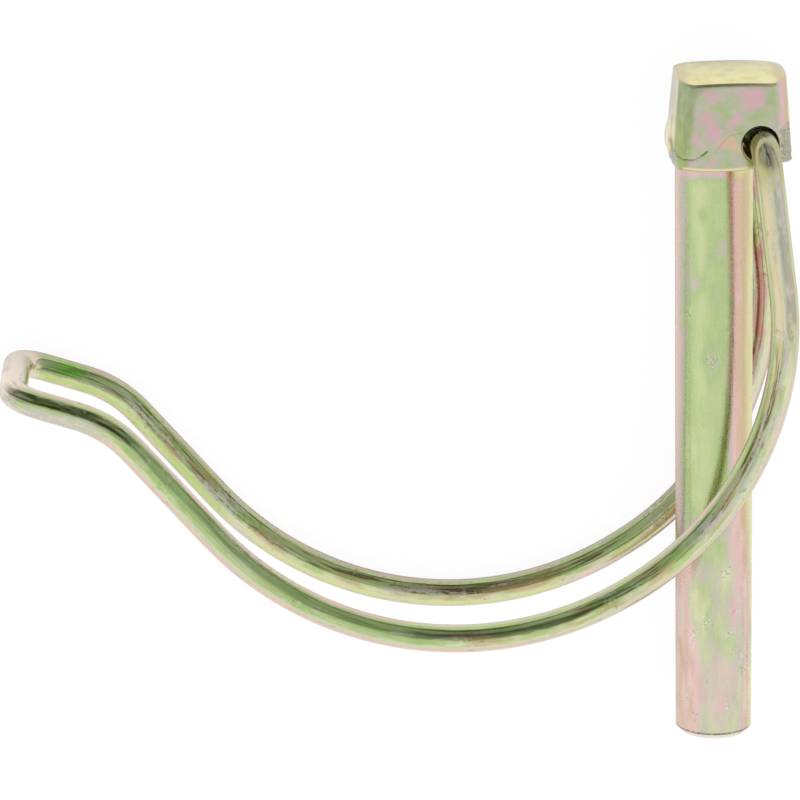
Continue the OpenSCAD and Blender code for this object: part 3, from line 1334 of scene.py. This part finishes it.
    def flash(self, points: np.ndarray) -> np.ndarray:
        """Distance field of the flash where the dies met, below zero inside.

        Args:
            points: Points, one row each.

        Returns:
            One value a point.
        """
        x, y, z = points.T
        full_h = self.flash_h - self.flash_fade
        trimmed = self.flash_out - self.flash_trim
        knee = (self.lip_x(self.flash_bevel) - self.flash_out, self.flash_bevel)
        ear = (self.lip_x(full_h) - self.flash_out, full_h)
        top = (self.lip_x(self.flash_h), self.flash_h)
        stub = (self.hinge_side_x(full_h) + trimmed, full_h)
        stub_top = (self.hinge_side_x(self.flash_h), self.flash_h)
        foot = (self.hinge_side_x(self.flash_foot) + trimmed, self.flash_foot)
        field = soft_max(self.beyond(x, y, (-self.shank_r - self.seat_min, 0), knee),
                         self.beyond(x, y, knee, ear), 0.5)
        field = soft_max(field, self.beyond(x, y, ear, top), 0.8)
        field = soft_max(field, -self.beyond(x, y, foot, stub), 0.2)
        field = soft_max(field, -self.beyond(x, y, stub, stub_top), 0.6)
        field = soft_max(field, -self.beyond(x, y, (self.right, 0), foot), 0.3)
        field = soft_max(field, np.maximum(-y, y - self.flash_h), 0.1)
        return soft_max(field, np.abs(z) - self.flash_t / 2, 0.3)

    def head(self, points: np.ndarray) -> np.ndarray:
        """Distance field of the whole head, with its edges softened, below zero inside.

        Args:
            points: Points, one row each.

        Returns:
            One value a point.
        """
        face = self.pressed(points)
        field = soft_max(face["faces"], face["blank"], 0.5)
        field = soft_max(field, face["sides"], 0.22)
        field = soft_max(field, face["bevel"], 0.3)
        field = soft_max(field, face["crown"], 0.35)
        field = soft_max(field, face["seat"], 0.2)
        return soft_min(field, self.flash(points), 0.2)

    def head_points(self) -> np.ndarray:
        """The head's surface as rings round the shank's axis, from the crown to the shank.

        Returns:
            Points by ring and by column.
        """
        lowest = math.pi - math.atan2(self.shank_r, self.heart_y)
        falls = np.linspace(0, lowest, self.head_rows + 1)[1:, None]
        turns = (np.arange(self.head_columns) * 2 * math.pi / self.head_columns)[None, :]
        ways = np.stack([np.sin(falls) * np.cos(turns), np.cos(falls) + 0 * turns,
                         np.sin(falls) * np.sin(turns)], axis=-1).reshape(-1, 3)
        heart = np.array([0, self.heart_y, 0])
        near = np.zeros(len(ways))
        far = np.full(len(ways), self.reach)
        for _ in range(self.search_steps):
            middle = (near + far) / 2
            inside = self.head(heart + ways * middle[:, None]) < 0
            near = np.where(inside, middle, near)
            far = np.where(inside, far, middle)
        points = heart + ways * near[:, None]
        points -= ways * self.worked(points)[:, None]
        rings = points.reshape(self.head_rows, self.head_columns, 3)
        rings[-1, :, 0] = self.shank_r * np.cos(turns[0])
        rings[-1, :, 2] = self.shank_r * np.sin(turns[0])
        return rings

    def worked(self, points: np.ndarray) -> np.ndarray:
        """How far the hammered surface lies under the true form.

        Args:
            points: Points on the true form.

        Returns:
            One depth a point.
        """
        waves = 0.02 * (1 + ripple(points, 4.5, seed=3)) / 2
        rough = 0.16 * self.on_flash(points) * np.abs(ripple(points, 0.9, seed=5))
        crease = 0.09 * self.creases(points)
        return np.maximum(waves + rough + crease, 0)

    def on_flash(self, points: np.ndarray) -> np.ndarray:
        """Finds where the flash was trimmed by the hinge, and the bare metal beside it.

        Args:
            points: Points on the head.

        Returns:
            One value a point, 1 on the trimmed metal and 0 off it.
        """
        face = self.pressed(points)
        x, y, _ = points.T
        proud = np.clip(np.maximum(face["sides"], face["blank"]) / 0.12, 0, 1)
        beside = np.clip((x - self.hole_x - self.hole_r) / 0.5, 0, 1)
        low = np.clip((self.flash_h - 1.2 - y + 0.4 * ripple(points, 1.5, seed=5)) / 1.4, 0, 1)
        return np.maximum(proud, beside * low) * (x > self.middle)

    def creases(self, points: np.ndarray) -> np.ndarray:
        """1 in the folds that the forging left on the front, under the crown and by the ear, which the pin's
        finish darkens as painted shade.

        Args:
            points: Points on the head.

        Returns:
            One value a point, 0 away from the folds.
        """
        face = self.pressed(points)
        x, y, z = points.T
        wander = 0.07 * ripple(points, 1.3, seed=11)[:, None]
        front = z > self.flash_t
        fold = near_line(points + wander, self.fold_line)
        lap = near_line(points + wander, self.lap_line)
        rim = np.hypot(face["crown"] + 0.1, face["faces"] + 0.02)
        along_rim = np.clip((x + 3.0) / 0.8, 0, 1) * np.clip((4.6 - x) / 1.6, 0, 1)
        ear = np.hypot(face["sides"] - 0.02, z - self.flash_t / 2)
        on_ear = (x < self.middle) * np.clip((y - 0.8) / 0.5, 0, 1) * np.clip((self.flash_h - y) / 0.8, 0, 1)
        depth = np.clip(0.75 + 0.4 * ripple(points, 1.1, seed=17), 0.25, 1)
        marks = front * depth * np.exp(-((fold / 0.075) ** 2))
        marks = marks + 0.12 * front * np.exp(-((lap / 0.1) ** 2))
        marks = marks + 0.3 * front * along_rim * np.exp(-((rim / 0.09) ** 2))
        marks = marks + 0.5 * on_ear * np.exp(-((ear / 0.08) ** 2))
        return np.minimum(marks, 1)

    def patched(self, points: np.ndarray) -> tuple[np.ndarray, np.ndarray]:
        """The soft patches of another film thickness on the shank's upper side.

        Args:
            points: Points, one row each.

        Returns:
            How far each point is in a patch, 0 to 1, and the thickness there.
        """
        wander = np.column_stack([ripple(points, 3.0, seed=31), ripple(points, 3.0, seed=32)])
        flat = points[:, :2] + 0.3 * wander
        spots = np.array(self.patches)
        apart = (flat[:, None, :] - spots[None, :, :2]) / spots[None, :, 2:4]
        shares = np.exp(-((apart ** 2).sum(axis=2))) * (points[:, 2:] > 0)
        total = shares.sum(axis=1)
        return np.minimum(total, 1), (shares @ spots[:, 4]) / np.maximum(total, 1e-6)

    def marks(self, points: np.ndarray) -> dict[PinMark, np.ndarray]:
        """The numbers that the finish reads, for points on the finished mesh.

        Args:
            points: Points, one row each.

        Returns:
            One value a point for each mark.
        """
        face = self.pressed(points)
        from_hole = np.hypot(points[:, 0] - self.hole_x, points[:, 1] - self.hole_y) - self.hole_r
        on_head = np.clip((points[:, 1] + 0.2) / 0.2, 0, 1)
        panel = soft_max(face["blank"], face["crown"] + 0.2, 1.6)
        front = points[:, 2] > self.flash_t
        ledge = np.clip((face["seat"] + 0.4) / 0.15, 0, 1) * np.clip(face["faces"] / 0.2 + 1.5, 0, 1)
        patch, patch_film = self.patched(points)
        return {
            PinMark.CREASE: self.creases(points) * on_head,
            PinMark.FLASH: self.on_flash(points) * on_head,
            PinMark.CROWN: np.clip((face["crown"] + 0.2) / 0.15, 0, 1) * on_head,
            PinMark.CORNER: np.clip((panel + 0.45) / 0.4, 0, 1) * on_head,
            PinMark.SIDE: np.clip((face["sides"] + 0.16) / 0.14, 0, 1) * on_head,
            PinMark.INSET: np.clip(-face["sides"] / 2, 0, 1),
            PinMark.ROSY: clouds(points, self.rosy_clouds),
            PinMark.GREEN: clouds(points, self.green_clouds),
            PinMark.LAP: np.clip(1.6 * clouds(points, self.lap_clouds) - 0.3, 0, 1) * front * on_head,
            PinMark.LEDGE: ledge * front * on_head,
            PinMark.BORE: ((from_hole < 0.05) & (face["faces"] < -self.hole_edge)).astype(float),
            PinMark.SHANK: 1 - on_head,
            PinMark.PATCH: patch * (1 - on_head),
            PinMark.PATCH_FILM: patch_film,
            PinMark.KNOCKED: clouds(points, self.knocks) * (points[:, 2] > 0),
        }

    def shank_profile(self) -> list[tuple[float, float]]:
        """Radius and Y of each ring of the shank, close together where the bevel's edges are broken.

        Returns:
            The rings, from under the head to the tip.
        """
        straight = self.shank_len - self.tip_bevel
        rings = [(self.shank_r, -y) for y in np.arange(0.3, straight - 0.2, self.shank_step)]
        rings += [(self.shank_r, 0.15 - straight), (self.shank_r, 0.03 - straight)]
        rings += [(self.shank_r - 0.02, -straight), (self.shank_r - 0.1, -straight - 0.08)]
        end = self.shank_r - self.tip_bevel
        rings += [(end + 0.08, 0.06 - self.shank_len), (end - 0.05, -self.shank_len)]
        rings += [(end / 2, -self.shank_len)]
        return rings

    def build(self) -> bpy.types.Object:
        """Builds the pin's mesh, with its cross hole cut and its marks stored.

        Returns:
            The piece.
        """
        form = bmesh.new()
        rings = self.head_points()
        top = form.verts.new(rings[0].mean(axis=0) * MM)
        rows = [[form.verts.new(point * MM) for point in ring] for ring in rings]
        for i in range(self.head_columns):
            form.faces.new((top, rows[0][i], rows[0][i - 1]))
        skin(form, rows)
        self.add_shank(form, rows[-1])
        piece = linked("forged_pin", mesh_from(form, "pin_form"))
        self.cut_hole(piece)
        for mark, values in self.marks(vertices_of(piece.data)).items():
            add_mark(piece.data, mark, values)
        piece.data.shade_smooth()
        piece.data.set_sharp_from_angle(angle=math.radians(self.sharp_deg))
        return piece

    def add_shank(self, form: bmesh.types.BMesh, root: list[bmesh.types.BMVert]) -> None:
        """Adds the shank's rings and its closed tip under the head.

        Args:
            form: The mesh so far.
            root: The head's last ring.
        """
        share = self.head_columns // self.shank_columns
        turns = np.arange(self.shank_columns) * 2 * math.pi / self.shank_columns
        rows = []
        for radius, y in self.shank_profile():
            ring = np.stack([radius * np.cos(turns), np.full_like(turns, y), radius * np.sin(turns)], axis=1)
            rows.append([form.verts.new(point * MM) for point in ring])
        for i in range(self.shank_columns):
            above = [root[(i * share - k) % self.head_columns] for k in range(share + 1)]
            form.faces.new([*reversed(above), rows[0][i], rows[0][i - 1]])
        skin(form, rows)
        tip = form.verts.new((0, -self.shank_len * MM, 0))
        for i in range(self.shank_columns):
            form.faces.new((rows[-1][i - 1], rows[-1][i], tip))

    def cut_hole(self, piece: bpy.types.Object) -> None:
        """Cuts the cross hole with its broken edges through the head.

        Args:
            piece: The pin.
        """
        face_z = self.head_d / 2 - self.hole_y * math.tan(math.radians(self.face_draft_deg))
        wide = self.hole_r + 2 * self.hole_edge
        outline = [(wide, self.reach), (wide, face_z + self.hole_edge)]
        outline += [(self.hole_r, face_z - self.hole_edge)]
        profile = outline + [(radius, -z) for radius, z in reversed(outline)]
        turns = [2 * math.pi * i / self.hole_sides for i in range(self.hole_sides)]
        form = bmesh.new()
        rows = []
        for radius, z in profile:
            ring = [(radius * math.cos(turn), radius * math.sin(turn)) for turn in turns]
            rows.append([
                form.verts.new(((self.hole_x + x) * MM, (self.hole_y + y) * MM, z * MM)) for x, y in ring
            ])
        skin(form, rows)
        form.faces.new(rows[0])
        form.faces.new(rows[-1])
        cutter = linked("hole_form", mesh_from(form, "hole_form"))
        cut = piece.modifiers.new("hole", "BOOLEAN")
        cut.operation = "DIFFERENCE"
        cut.solver = "EXACT"
        cut.object = cutter
        mesh = evaluated_mesh(piece)
        piece.modifiers.clear()
        piece.data = mesh
        bpy.data.objects.remove(cutter)


# ---------------------------------------------------------------------------------------------
# The wire bow
# ---------------------------------------------------------------------------------------------


@dataclass(frozen=True)
class Bend:
    """One row of the bender's table: feed the wire, roll it, bend it."""

    feed: float
    roll_deg: float
    radius: float
    turn_deg: float


@dataclass
class WireBow:
    """The bow: one length of wire, laid out by its bend table and swept by Geometry Nodes.

    Shoulder, belly and crook are each a bend's radius and its turn in degrees. The wire's middle
    is walked in steps of about feed_step and bend_step, with tight bends walked as if their radius
    were least_bend_r, and batches keeps the search for each vertex's place on it small.
    """

    hinge_x: float
    hinge_y: float
    leg_z: float
    wire_d: float = 3.6
    end_gap: float = 1.0
    open_lean_deg: float = 6.9
    elbow_r: float = 3.0
    corner_r: float = 3.6
    lead_len: float = 18.4
    shoulder: tuple[float, float] = (39.0, 65.7)
    waist_len: float = 0.6
    belly: tuple[float, float] = (42.0, 80.7)
    run_len: float = 15.1
    crook: tuple[float, float] = (15.5, 31.2)
    tab_len: float = 8.8
    end_skew: float = 0.6
    sides: int = 48
    step: float = 0.36
    feed_step: float = 1.0
    bend_step: float = 0.8
    least_bend_r: float = 6.0
    batches: int = 40

    def table(self) -> list[Bend]:
        """The bend table, from one wire end to the other.

        Returns:
            The rows.
        """
        end_len = self.leg_z - self.elbow_r - self.end_gap / 2
        end_room = 2 * (self.leg_z - self.corner_r)
        slant = math.atan(self.end_skew / end_room)
        cross_len = end_room / math.cos(slant)
        slant_deg = math.degrees(slant)
        lead = self.lead_len - self.elbow_r
        tab = self.tab_len - self.corner_r
        short_tab = tab - self.end_skew / 2
        long_tab = tab + self.end_skew / 2
        shoulder_r, shoulder_turn = self.shoulder
        belly_r, belly_turn = self.belly
        crook_r, crook_turn = self.crook
        return [
            Bend(end_len, 0, self.elbow_r, 90),
            Bend(lead, 90, shoulder_r, -shoulder_turn),
            Bend(self.waist_len, 0, belly_r, -belly_turn),
            Bend(self.run_len, 0, crook_r, crook_turn),
            Bend(short_tab, -90, self.corner_r, 90 - slant_deg),
            Bend(cross_len, 0, self.corner_r, 90 + slant_deg),
            Bend(long_tab, 90, crook_r, crook_turn),
            Bend(self.run_len, 0, belly_r, -belly_turn),
            Bend(self.waist_len, 0, shoulder_r, -shoulder_turn),
            Bend(lead, -90, self.elbow_r, 90),
            Bend(end_len, 0, 0, 0),
        ]

    def length(self) -> float:
        """Length of the wire, along its middle."""
        return sum(row.feed + row.radius * math.radians(abs(row.turn_deg)) for row in self.table())

    def path(self) -> tuple[np.ndarray, np.ndarray]:
        """Walks the bend table.

        Returns:
            The points along the wire's middle, and at each the direction of the wire's outer side,
            which is carried along without twist.
        """
        lean = math.radians(180 + self.open_lean_deg)
        here = Vector((self.hinge_x, self.hinge_y, self.end_gap / 2))
        ahead = Vector((0, 0, 1))
        left = Vector((-math.sin(lean), math.cos(lean), 0))
        outer = ahead.cross(left)
        points = [here.copy()]
        outers = [outer.copy()]
        for row in self.table():
            steps = max(1, round(row.feed / self.feed_step))
            for _ in range(steps):
                here = here + ahead * (row.feed / steps)
                points.append(here.copy())
                outers.append(outer.copy())
            left = Matrix.Rotation(math.radians(row.roll_deg), 3, ahead) @ left
            if row.radius == 0:
                continue
            side = math.copysign(1, row.turn_deg)
            axis = ahead.cross(left) * side
            centre = here + left * (side * row.radius)
            turn = math.radians(abs(row.turn_deg))
            steps = max(2, round(turn * max(row.radius, self.least_bend_r) / self.bend_step))
            step = Matrix.Rotation(turn / steps, 3, axis)
            for _ in range(steps):
                here = centre + step @ (here - centre)
                ahead, left, outer = step @ ahead, step @ left, step @ outer
                points.append(here.copy())
                outers.append(outer.copy())
        return np.array(points), np.array(outers)

    def sweep_tree(self) -> bpy.types.NodeTree:
        """The node tree that sweeps a round section along the wire's middle.

        Returns:
            The tree.
        """
        group = bpy.data.node_groups.new("wire_sweep", "GeometryNodeTree")
        face = group.interface
        face.new_socket(name="Path", in_out="INPUT", socket_type="NodeSocketGeometry")
        for name, kind, default in (
            ("Wire Radius", "NodeSocketFloat", 1.8 * MM),
            ("Sides", "NodeSocketInt", 48),
            ("Step", "NodeSocketFloat", 0.4 * MM),
            ("Unevenness", "NodeSocketFloat", 0.004),
            ("Seed", "NodeSocketInt", 7),
            ("Finish", "NodeSocketMaterial", None),
        ):
            socket = face.new_socket(name=name, in_out="INPUT", socket_type=kind)
            if default is not None:
                socket.default_value = default
        face.new_socket(name="Wire", in_out="OUTPUT", socket_type="NodeSocketGeometry")
        tree = Tree(group)
        given = tree.node("NodeGroupInput").outputs
        feeds = {"Curve": given["Path"], "Length": given["Step"]}
        evened = tree.node("GeometryNodeResampleCurve", feeds, mode="LENGTH").outputs["Curve"]
        feeds = {"W": given["Seed"], "Scale": 180.0}
        wobble = tree.node("ShaderNodeTexNoise", feeds, noise_dimensions="4D").outputs["Fac"]
        radius = tree.rest(tree.times(wobble, given["Unevenness"]))
        feeds = {"Resolution": given["Sides"], "Radius": given["Wire Radius"]}
        section = tree.node("GeometryNodeCurvePrimitiveCircle", feeds, mode="RADIUS").outputs["Curve"]
        feeds = {"Curve": evened, "Profile Curve": section, "Scale": radius, "Fill Caps": True}
        swept = tree.node("GeometryNodeCurveToMesh", feeds)
        smooth = tree.node("GeometryNodeSetShadeSmooth", {"Geometry": swept.outputs["Mesh"]})
        real = tree.node("GeometryNodeRealizeInstances", {"Geometry": smooth.outputs["Geometry"]})
        feeds = {"Geometry": real.outputs["Geometry"], "Material": given["Finish"]}
        dressed = tree.node("GeometryNodeSetMaterial", feeds)
        tree.node("NodeGroupOutput", {"Wire": dressed.outputs["Geometry"]})
        return group

    def build(self, finish: bpy.types.Material) -> bpy.types.Object:
        """Sweeps the wire and stores its marks.

        Args:
            finish: The wire's material.

        Returns:
            The piece.
        """
        points, outers = self.path()
        curve = bpy.data.curves.new("bow_path", "CURVE")
        curve.dimensions = "3D"
        spline = curve.splines.new("POLY")
        spline.points.add(len(points) - 1)
        for target, point in zip(spline.points, points):
            target.co = (*(point * MM), 1)
        piece = linked("wire_bow", curve)
        sweep = piece.modifiers.new("sweep", "NODES")
        sweep.node_group = self.sweep_tree()
        wanted = {
            "Wire Radius": self.wire_d / 2 * MM,
            "Sides": self.sides,
            "Step": self.step * MM,
            "Finish": finish,
        }
        for item in sweep.node_group.interface.items_tree:
            if item.in_out == "INPUT" and item.name in wanted:
                sweep[item.identifier] = wanted[item.name]
        mesh = evaluated_mesh(piece)
        bpy.data.objects.remove(piece)
        bow = linked("wire_bow", mesh)
        self.mark(mesh, points, outers)
        return bow

    def mark(self, mesh: bpy.types.Mesh, points: np.ndarray, outers: np.ndarray) -> None:
        """Stores where each vertex lies on the wire: how far along, and on which side.

        Args:
            mesh: The wire's mesh.
            points: Points along the wire's middle.
            outers: The outer side's direction at each.
        """
        places = vertices_of(mesh)
        runs = np.concatenate([[0], np.cumsum(np.linalg.norm(np.diff(points, axis=0), axis=1))])
        ways = np.gradient(points, axis=0)
        ways /= np.linalg.norm(ways, axis=1, keepdims=True)
        nearest = np.concatenate([
            np.argmin(((part[:, None] - points[None]) ** 2).sum(axis=2), axis=1)
            for part in np.array_split(places, self.batches)
        ])
        offset = places - points[nearest]
        slid = (offset * ways[nearest]).sum(axis=1)
        around = offset - slid[:, None] * ways[nearest]
        around /= np.maximum(np.linalg.norm(around, axis=1, keepdims=True), 1e-6)
        across = np.cross(ways[nearest], outers[nearest])
        add_mark(mesh, WireMark.ALONG, runs[nearest] + slid)
        add_mark(mesh, WireMark.OUTER, (around * outers[nearest]).sum(axis=1))
        add_mark(mesh, WireMark.UPPER, (around * across).sum(axis=1))


# ---------------------------------------------------------------------------------------------
# Studio
# ---------------------------------------------------------------------------------------------


@dataclass(frozen=True)
class Studio:
    """A white floor, a soft tent of light with a dark slot on the +Y side, a lamp and the camera.

    The slot's numbers say how dark it is by the height of the direction, from -1 straight down to
    1 straight up. The camera sees the floor as white by camera_share, and the rest is lit floor.
    """

    aim: tuple[float, float, float] = (-40.752, -29.978, 0.0)
    stand: tuple[float, float, float] = (-52.051, 73.983, 429.081)
    roll_deg: float = -1.21
    lens: float = 153.459
    sensor: float = 36.0
    sight: tuple[float, float] = (10.0, 20000.0)
    floor_span: float = 4000.0
    floor_white: tuple[float, float, float] = (245, 245, 245)
    floor_mirrored: tuple[float, float, float] = (212, 212, 212)
    camera_white: tuple[float, float, float] = (255, 255, 255)
    camera_share: float = 0.92
    lamp_at: tuple[float, float, float] = (0.0, -100.0, 1000.0)
    lamp_span: float = 1200.0
    lamp_watts: float = 9.0
    slot: Profile = (
        (-0.2, 0.0), (0.0, 0.85), (0.2, 0.9), (0.35, 0.4), (0.62, 0.4), (0.74, 0.75), (0.82, 0.7),
        (0.95, 0.0),
    )

    def camera(self) -> None:
        """Makes the camera and gives it to the scene."""
        data = bpy.data.cameras.new("camera")
        data.sensor_width = self.sensor
        data.lens = self.lens
        data.clip_start, data.clip_end = (reach * MM for reach in self.sight)
        camera = linked("camera", data)
        look = (Vector(self.aim) - Vector(self.stand)).normalized()
        right = look.cross(Vector((0, 1, 0))).normalized()
        up = right.cross(look)
        level = Matrix((right, up, -look)).transposed()
        rolled = level @ Matrix.Rotation(math.radians(self.roll_deg), 3, "Z")
        camera.matrix_world = Matrix.Translation(Vector(self.stand) * MM) @ rolled.to_4x4()
        bpy.context.scene.camera = camera

    def floor(self, height: float) -> None:
        """Lays the floor that the part rests on.

        Args:
            height: Z of the floor, in metres.
        """
        half = self.floor_span * MM / 2
        mesh = bpy.data.meshes.new("floor")
        corners = [(-half, -half, height), (half, -half, height), (half, half, height), (-half, half, height)]
        mesh.from_pydata(corners, [], [(0, 1, 2, 3)])
        floor = linked("floor", mesh)
        material, tree = new_finish("floor_white")
        rays = tree.node("ShaderNodeLightPath").outputs
        white = tree.mix(rays["Is Glossy Ray"], paint(*self.floor_white), paint(*self.floor_mirrored))
        matt = tree.node("ShaderNodeBsdfDiffuse", {"Color": white}).outputs[0]
        glow = tree.node("ShaderNodeEmission", {"Color": paint(*self.camera_white)}).outputs[0]
        share = tree.times(rays["Is Camera Ray"], self.camera_share)
        both = tree.node("ShaderNodeMixShader", {0: share, 1: matt, 2: glow}).outputs[0]
        tree.node("ShaderNodeOutputMaterial", {"Surface": both})
        mesh.materials.append(material)

    def tent(self) -> None:
        """Builds the world: bright towards -Y, greyer towards +Y, with a dark upright slot there."""
        world = bpy.data.worlds.new("tent")
        bpy.context.scene.world = world
        world.use_nodes = True
        world.node_tree.nodes.clear()
        tree = Tree(world.node_tree)
        x, y, z = tree.split(tree.node("ShaderNodeTexCoord").outputs["Generated"])
        level = tree.remap(y, 0.3, -0.15, 0.5, 0.95)
        sides = tree.remap(tree.math("ABSOLUTE", x), 0.45, 1.0, 0.0, 0.1)
        level = tree.math("ADD", level, sides, clamp=True)
        off_slot = tree.math("ABSOLUTE", tree.math("SUBTRACT", x, 0.02))
        slot = tree.times(tree.remap(off_slot, 0.24, 0.06), tree.remap(y, 0.1, 0.4))
        slot = tree.times(slot, tree.across(z, self.slot))
        rim = tree.times(tree.remap(y, 0.3, 0.7), tree.remap(z, 0.3, 0.1, 0.0, 0.45))
        level = tree.times(level, tree.rest(slot), tree.rest(rim))
        level = tree.larger(level, tree.node("ShaderNodeLightPath").outputs["Is Camera Ray"])
        back = tree.node("ShaderNodeBackground", {"Color": (1, 1, 1, 1), "Strength": level})
        tree.node("ShaderNodeOutputWorld", {"Surface": back.outputs[0]})

    def lamp(self) -> None:
        """Hangs one broad lamp over the part, which the metal doesn't mirror."""
        data = bpy.data.lights.new("overhead", "AREA")
        data.shape = "DISK"
        data.size = self.lamp_span * MM
        data.energy = self.lamp_watts
        lamp = linked("overhead", data)
        lamp.location = Vector(self.lamp_at) * MM
        lamp.visible_glossy = False


# ---------------------------------------------------------------------------------------------
# The whole part
# ---------------------------------------------------------------------------------------------


def report(piece: bpy.types.Object, body: str) -> None:
    """Rides a piece on its body and logs it.

    Args:
        piece: The piece.
        body: The CAD body that it moves with.
    """
    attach(piece, body)
    log.info("%s: %d faces on body %s", piece.name, len(piece.data.polygons), body)


def main() -> None:
    """Builds the pin, the bow and the studio, in that order."""
    logging.basicConfig(level=logging.INFO, format="%(name)s: %(message)s")
    bpy.context.scene.view_settings.view_transform = "Standard"
    low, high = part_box("pin")
    bow_low, bow_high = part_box("bow")
    mount = frame["record"]["mounts"][0]["dims"]
    hinge = frame["joints"][0]["pos_m"]
    shelf = EffectShelf()

    pin = ForgedPin(shank_r=mount["r_mm"], shank_len=-low.y / MM, head_h=high.y / MM)
    pin_piece = pin.build()
    pin_piece.data.materials.clear()
    pin_finish = PinFinish(middle_x=pin.middle, rim_y=pin.tip_bevel - pin.shank_len)
    pin_piece.data.materials.append(pin_finish.build(shelf))
    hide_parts("pin")
    report(pin_piece, "pin")

    leg_z = bow_high.z / MM - WireBow.wire_d / 2
    bow = WireBow(hinge_x=hinge[0] / MM, hinge_y=hinge[1] / MM, leg_z=leg_z)
    bow_piece = bow.build(WireFinish(length=bow.length()).build(shelf))
    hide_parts("bow")
    report(bow_piece, "bow")

    studio = Studio()
    studio.camera()
    studio.floor(bow_low.z)
    studio.tent()
    studio.lamp()


if __name__ == "__main__":
    main()
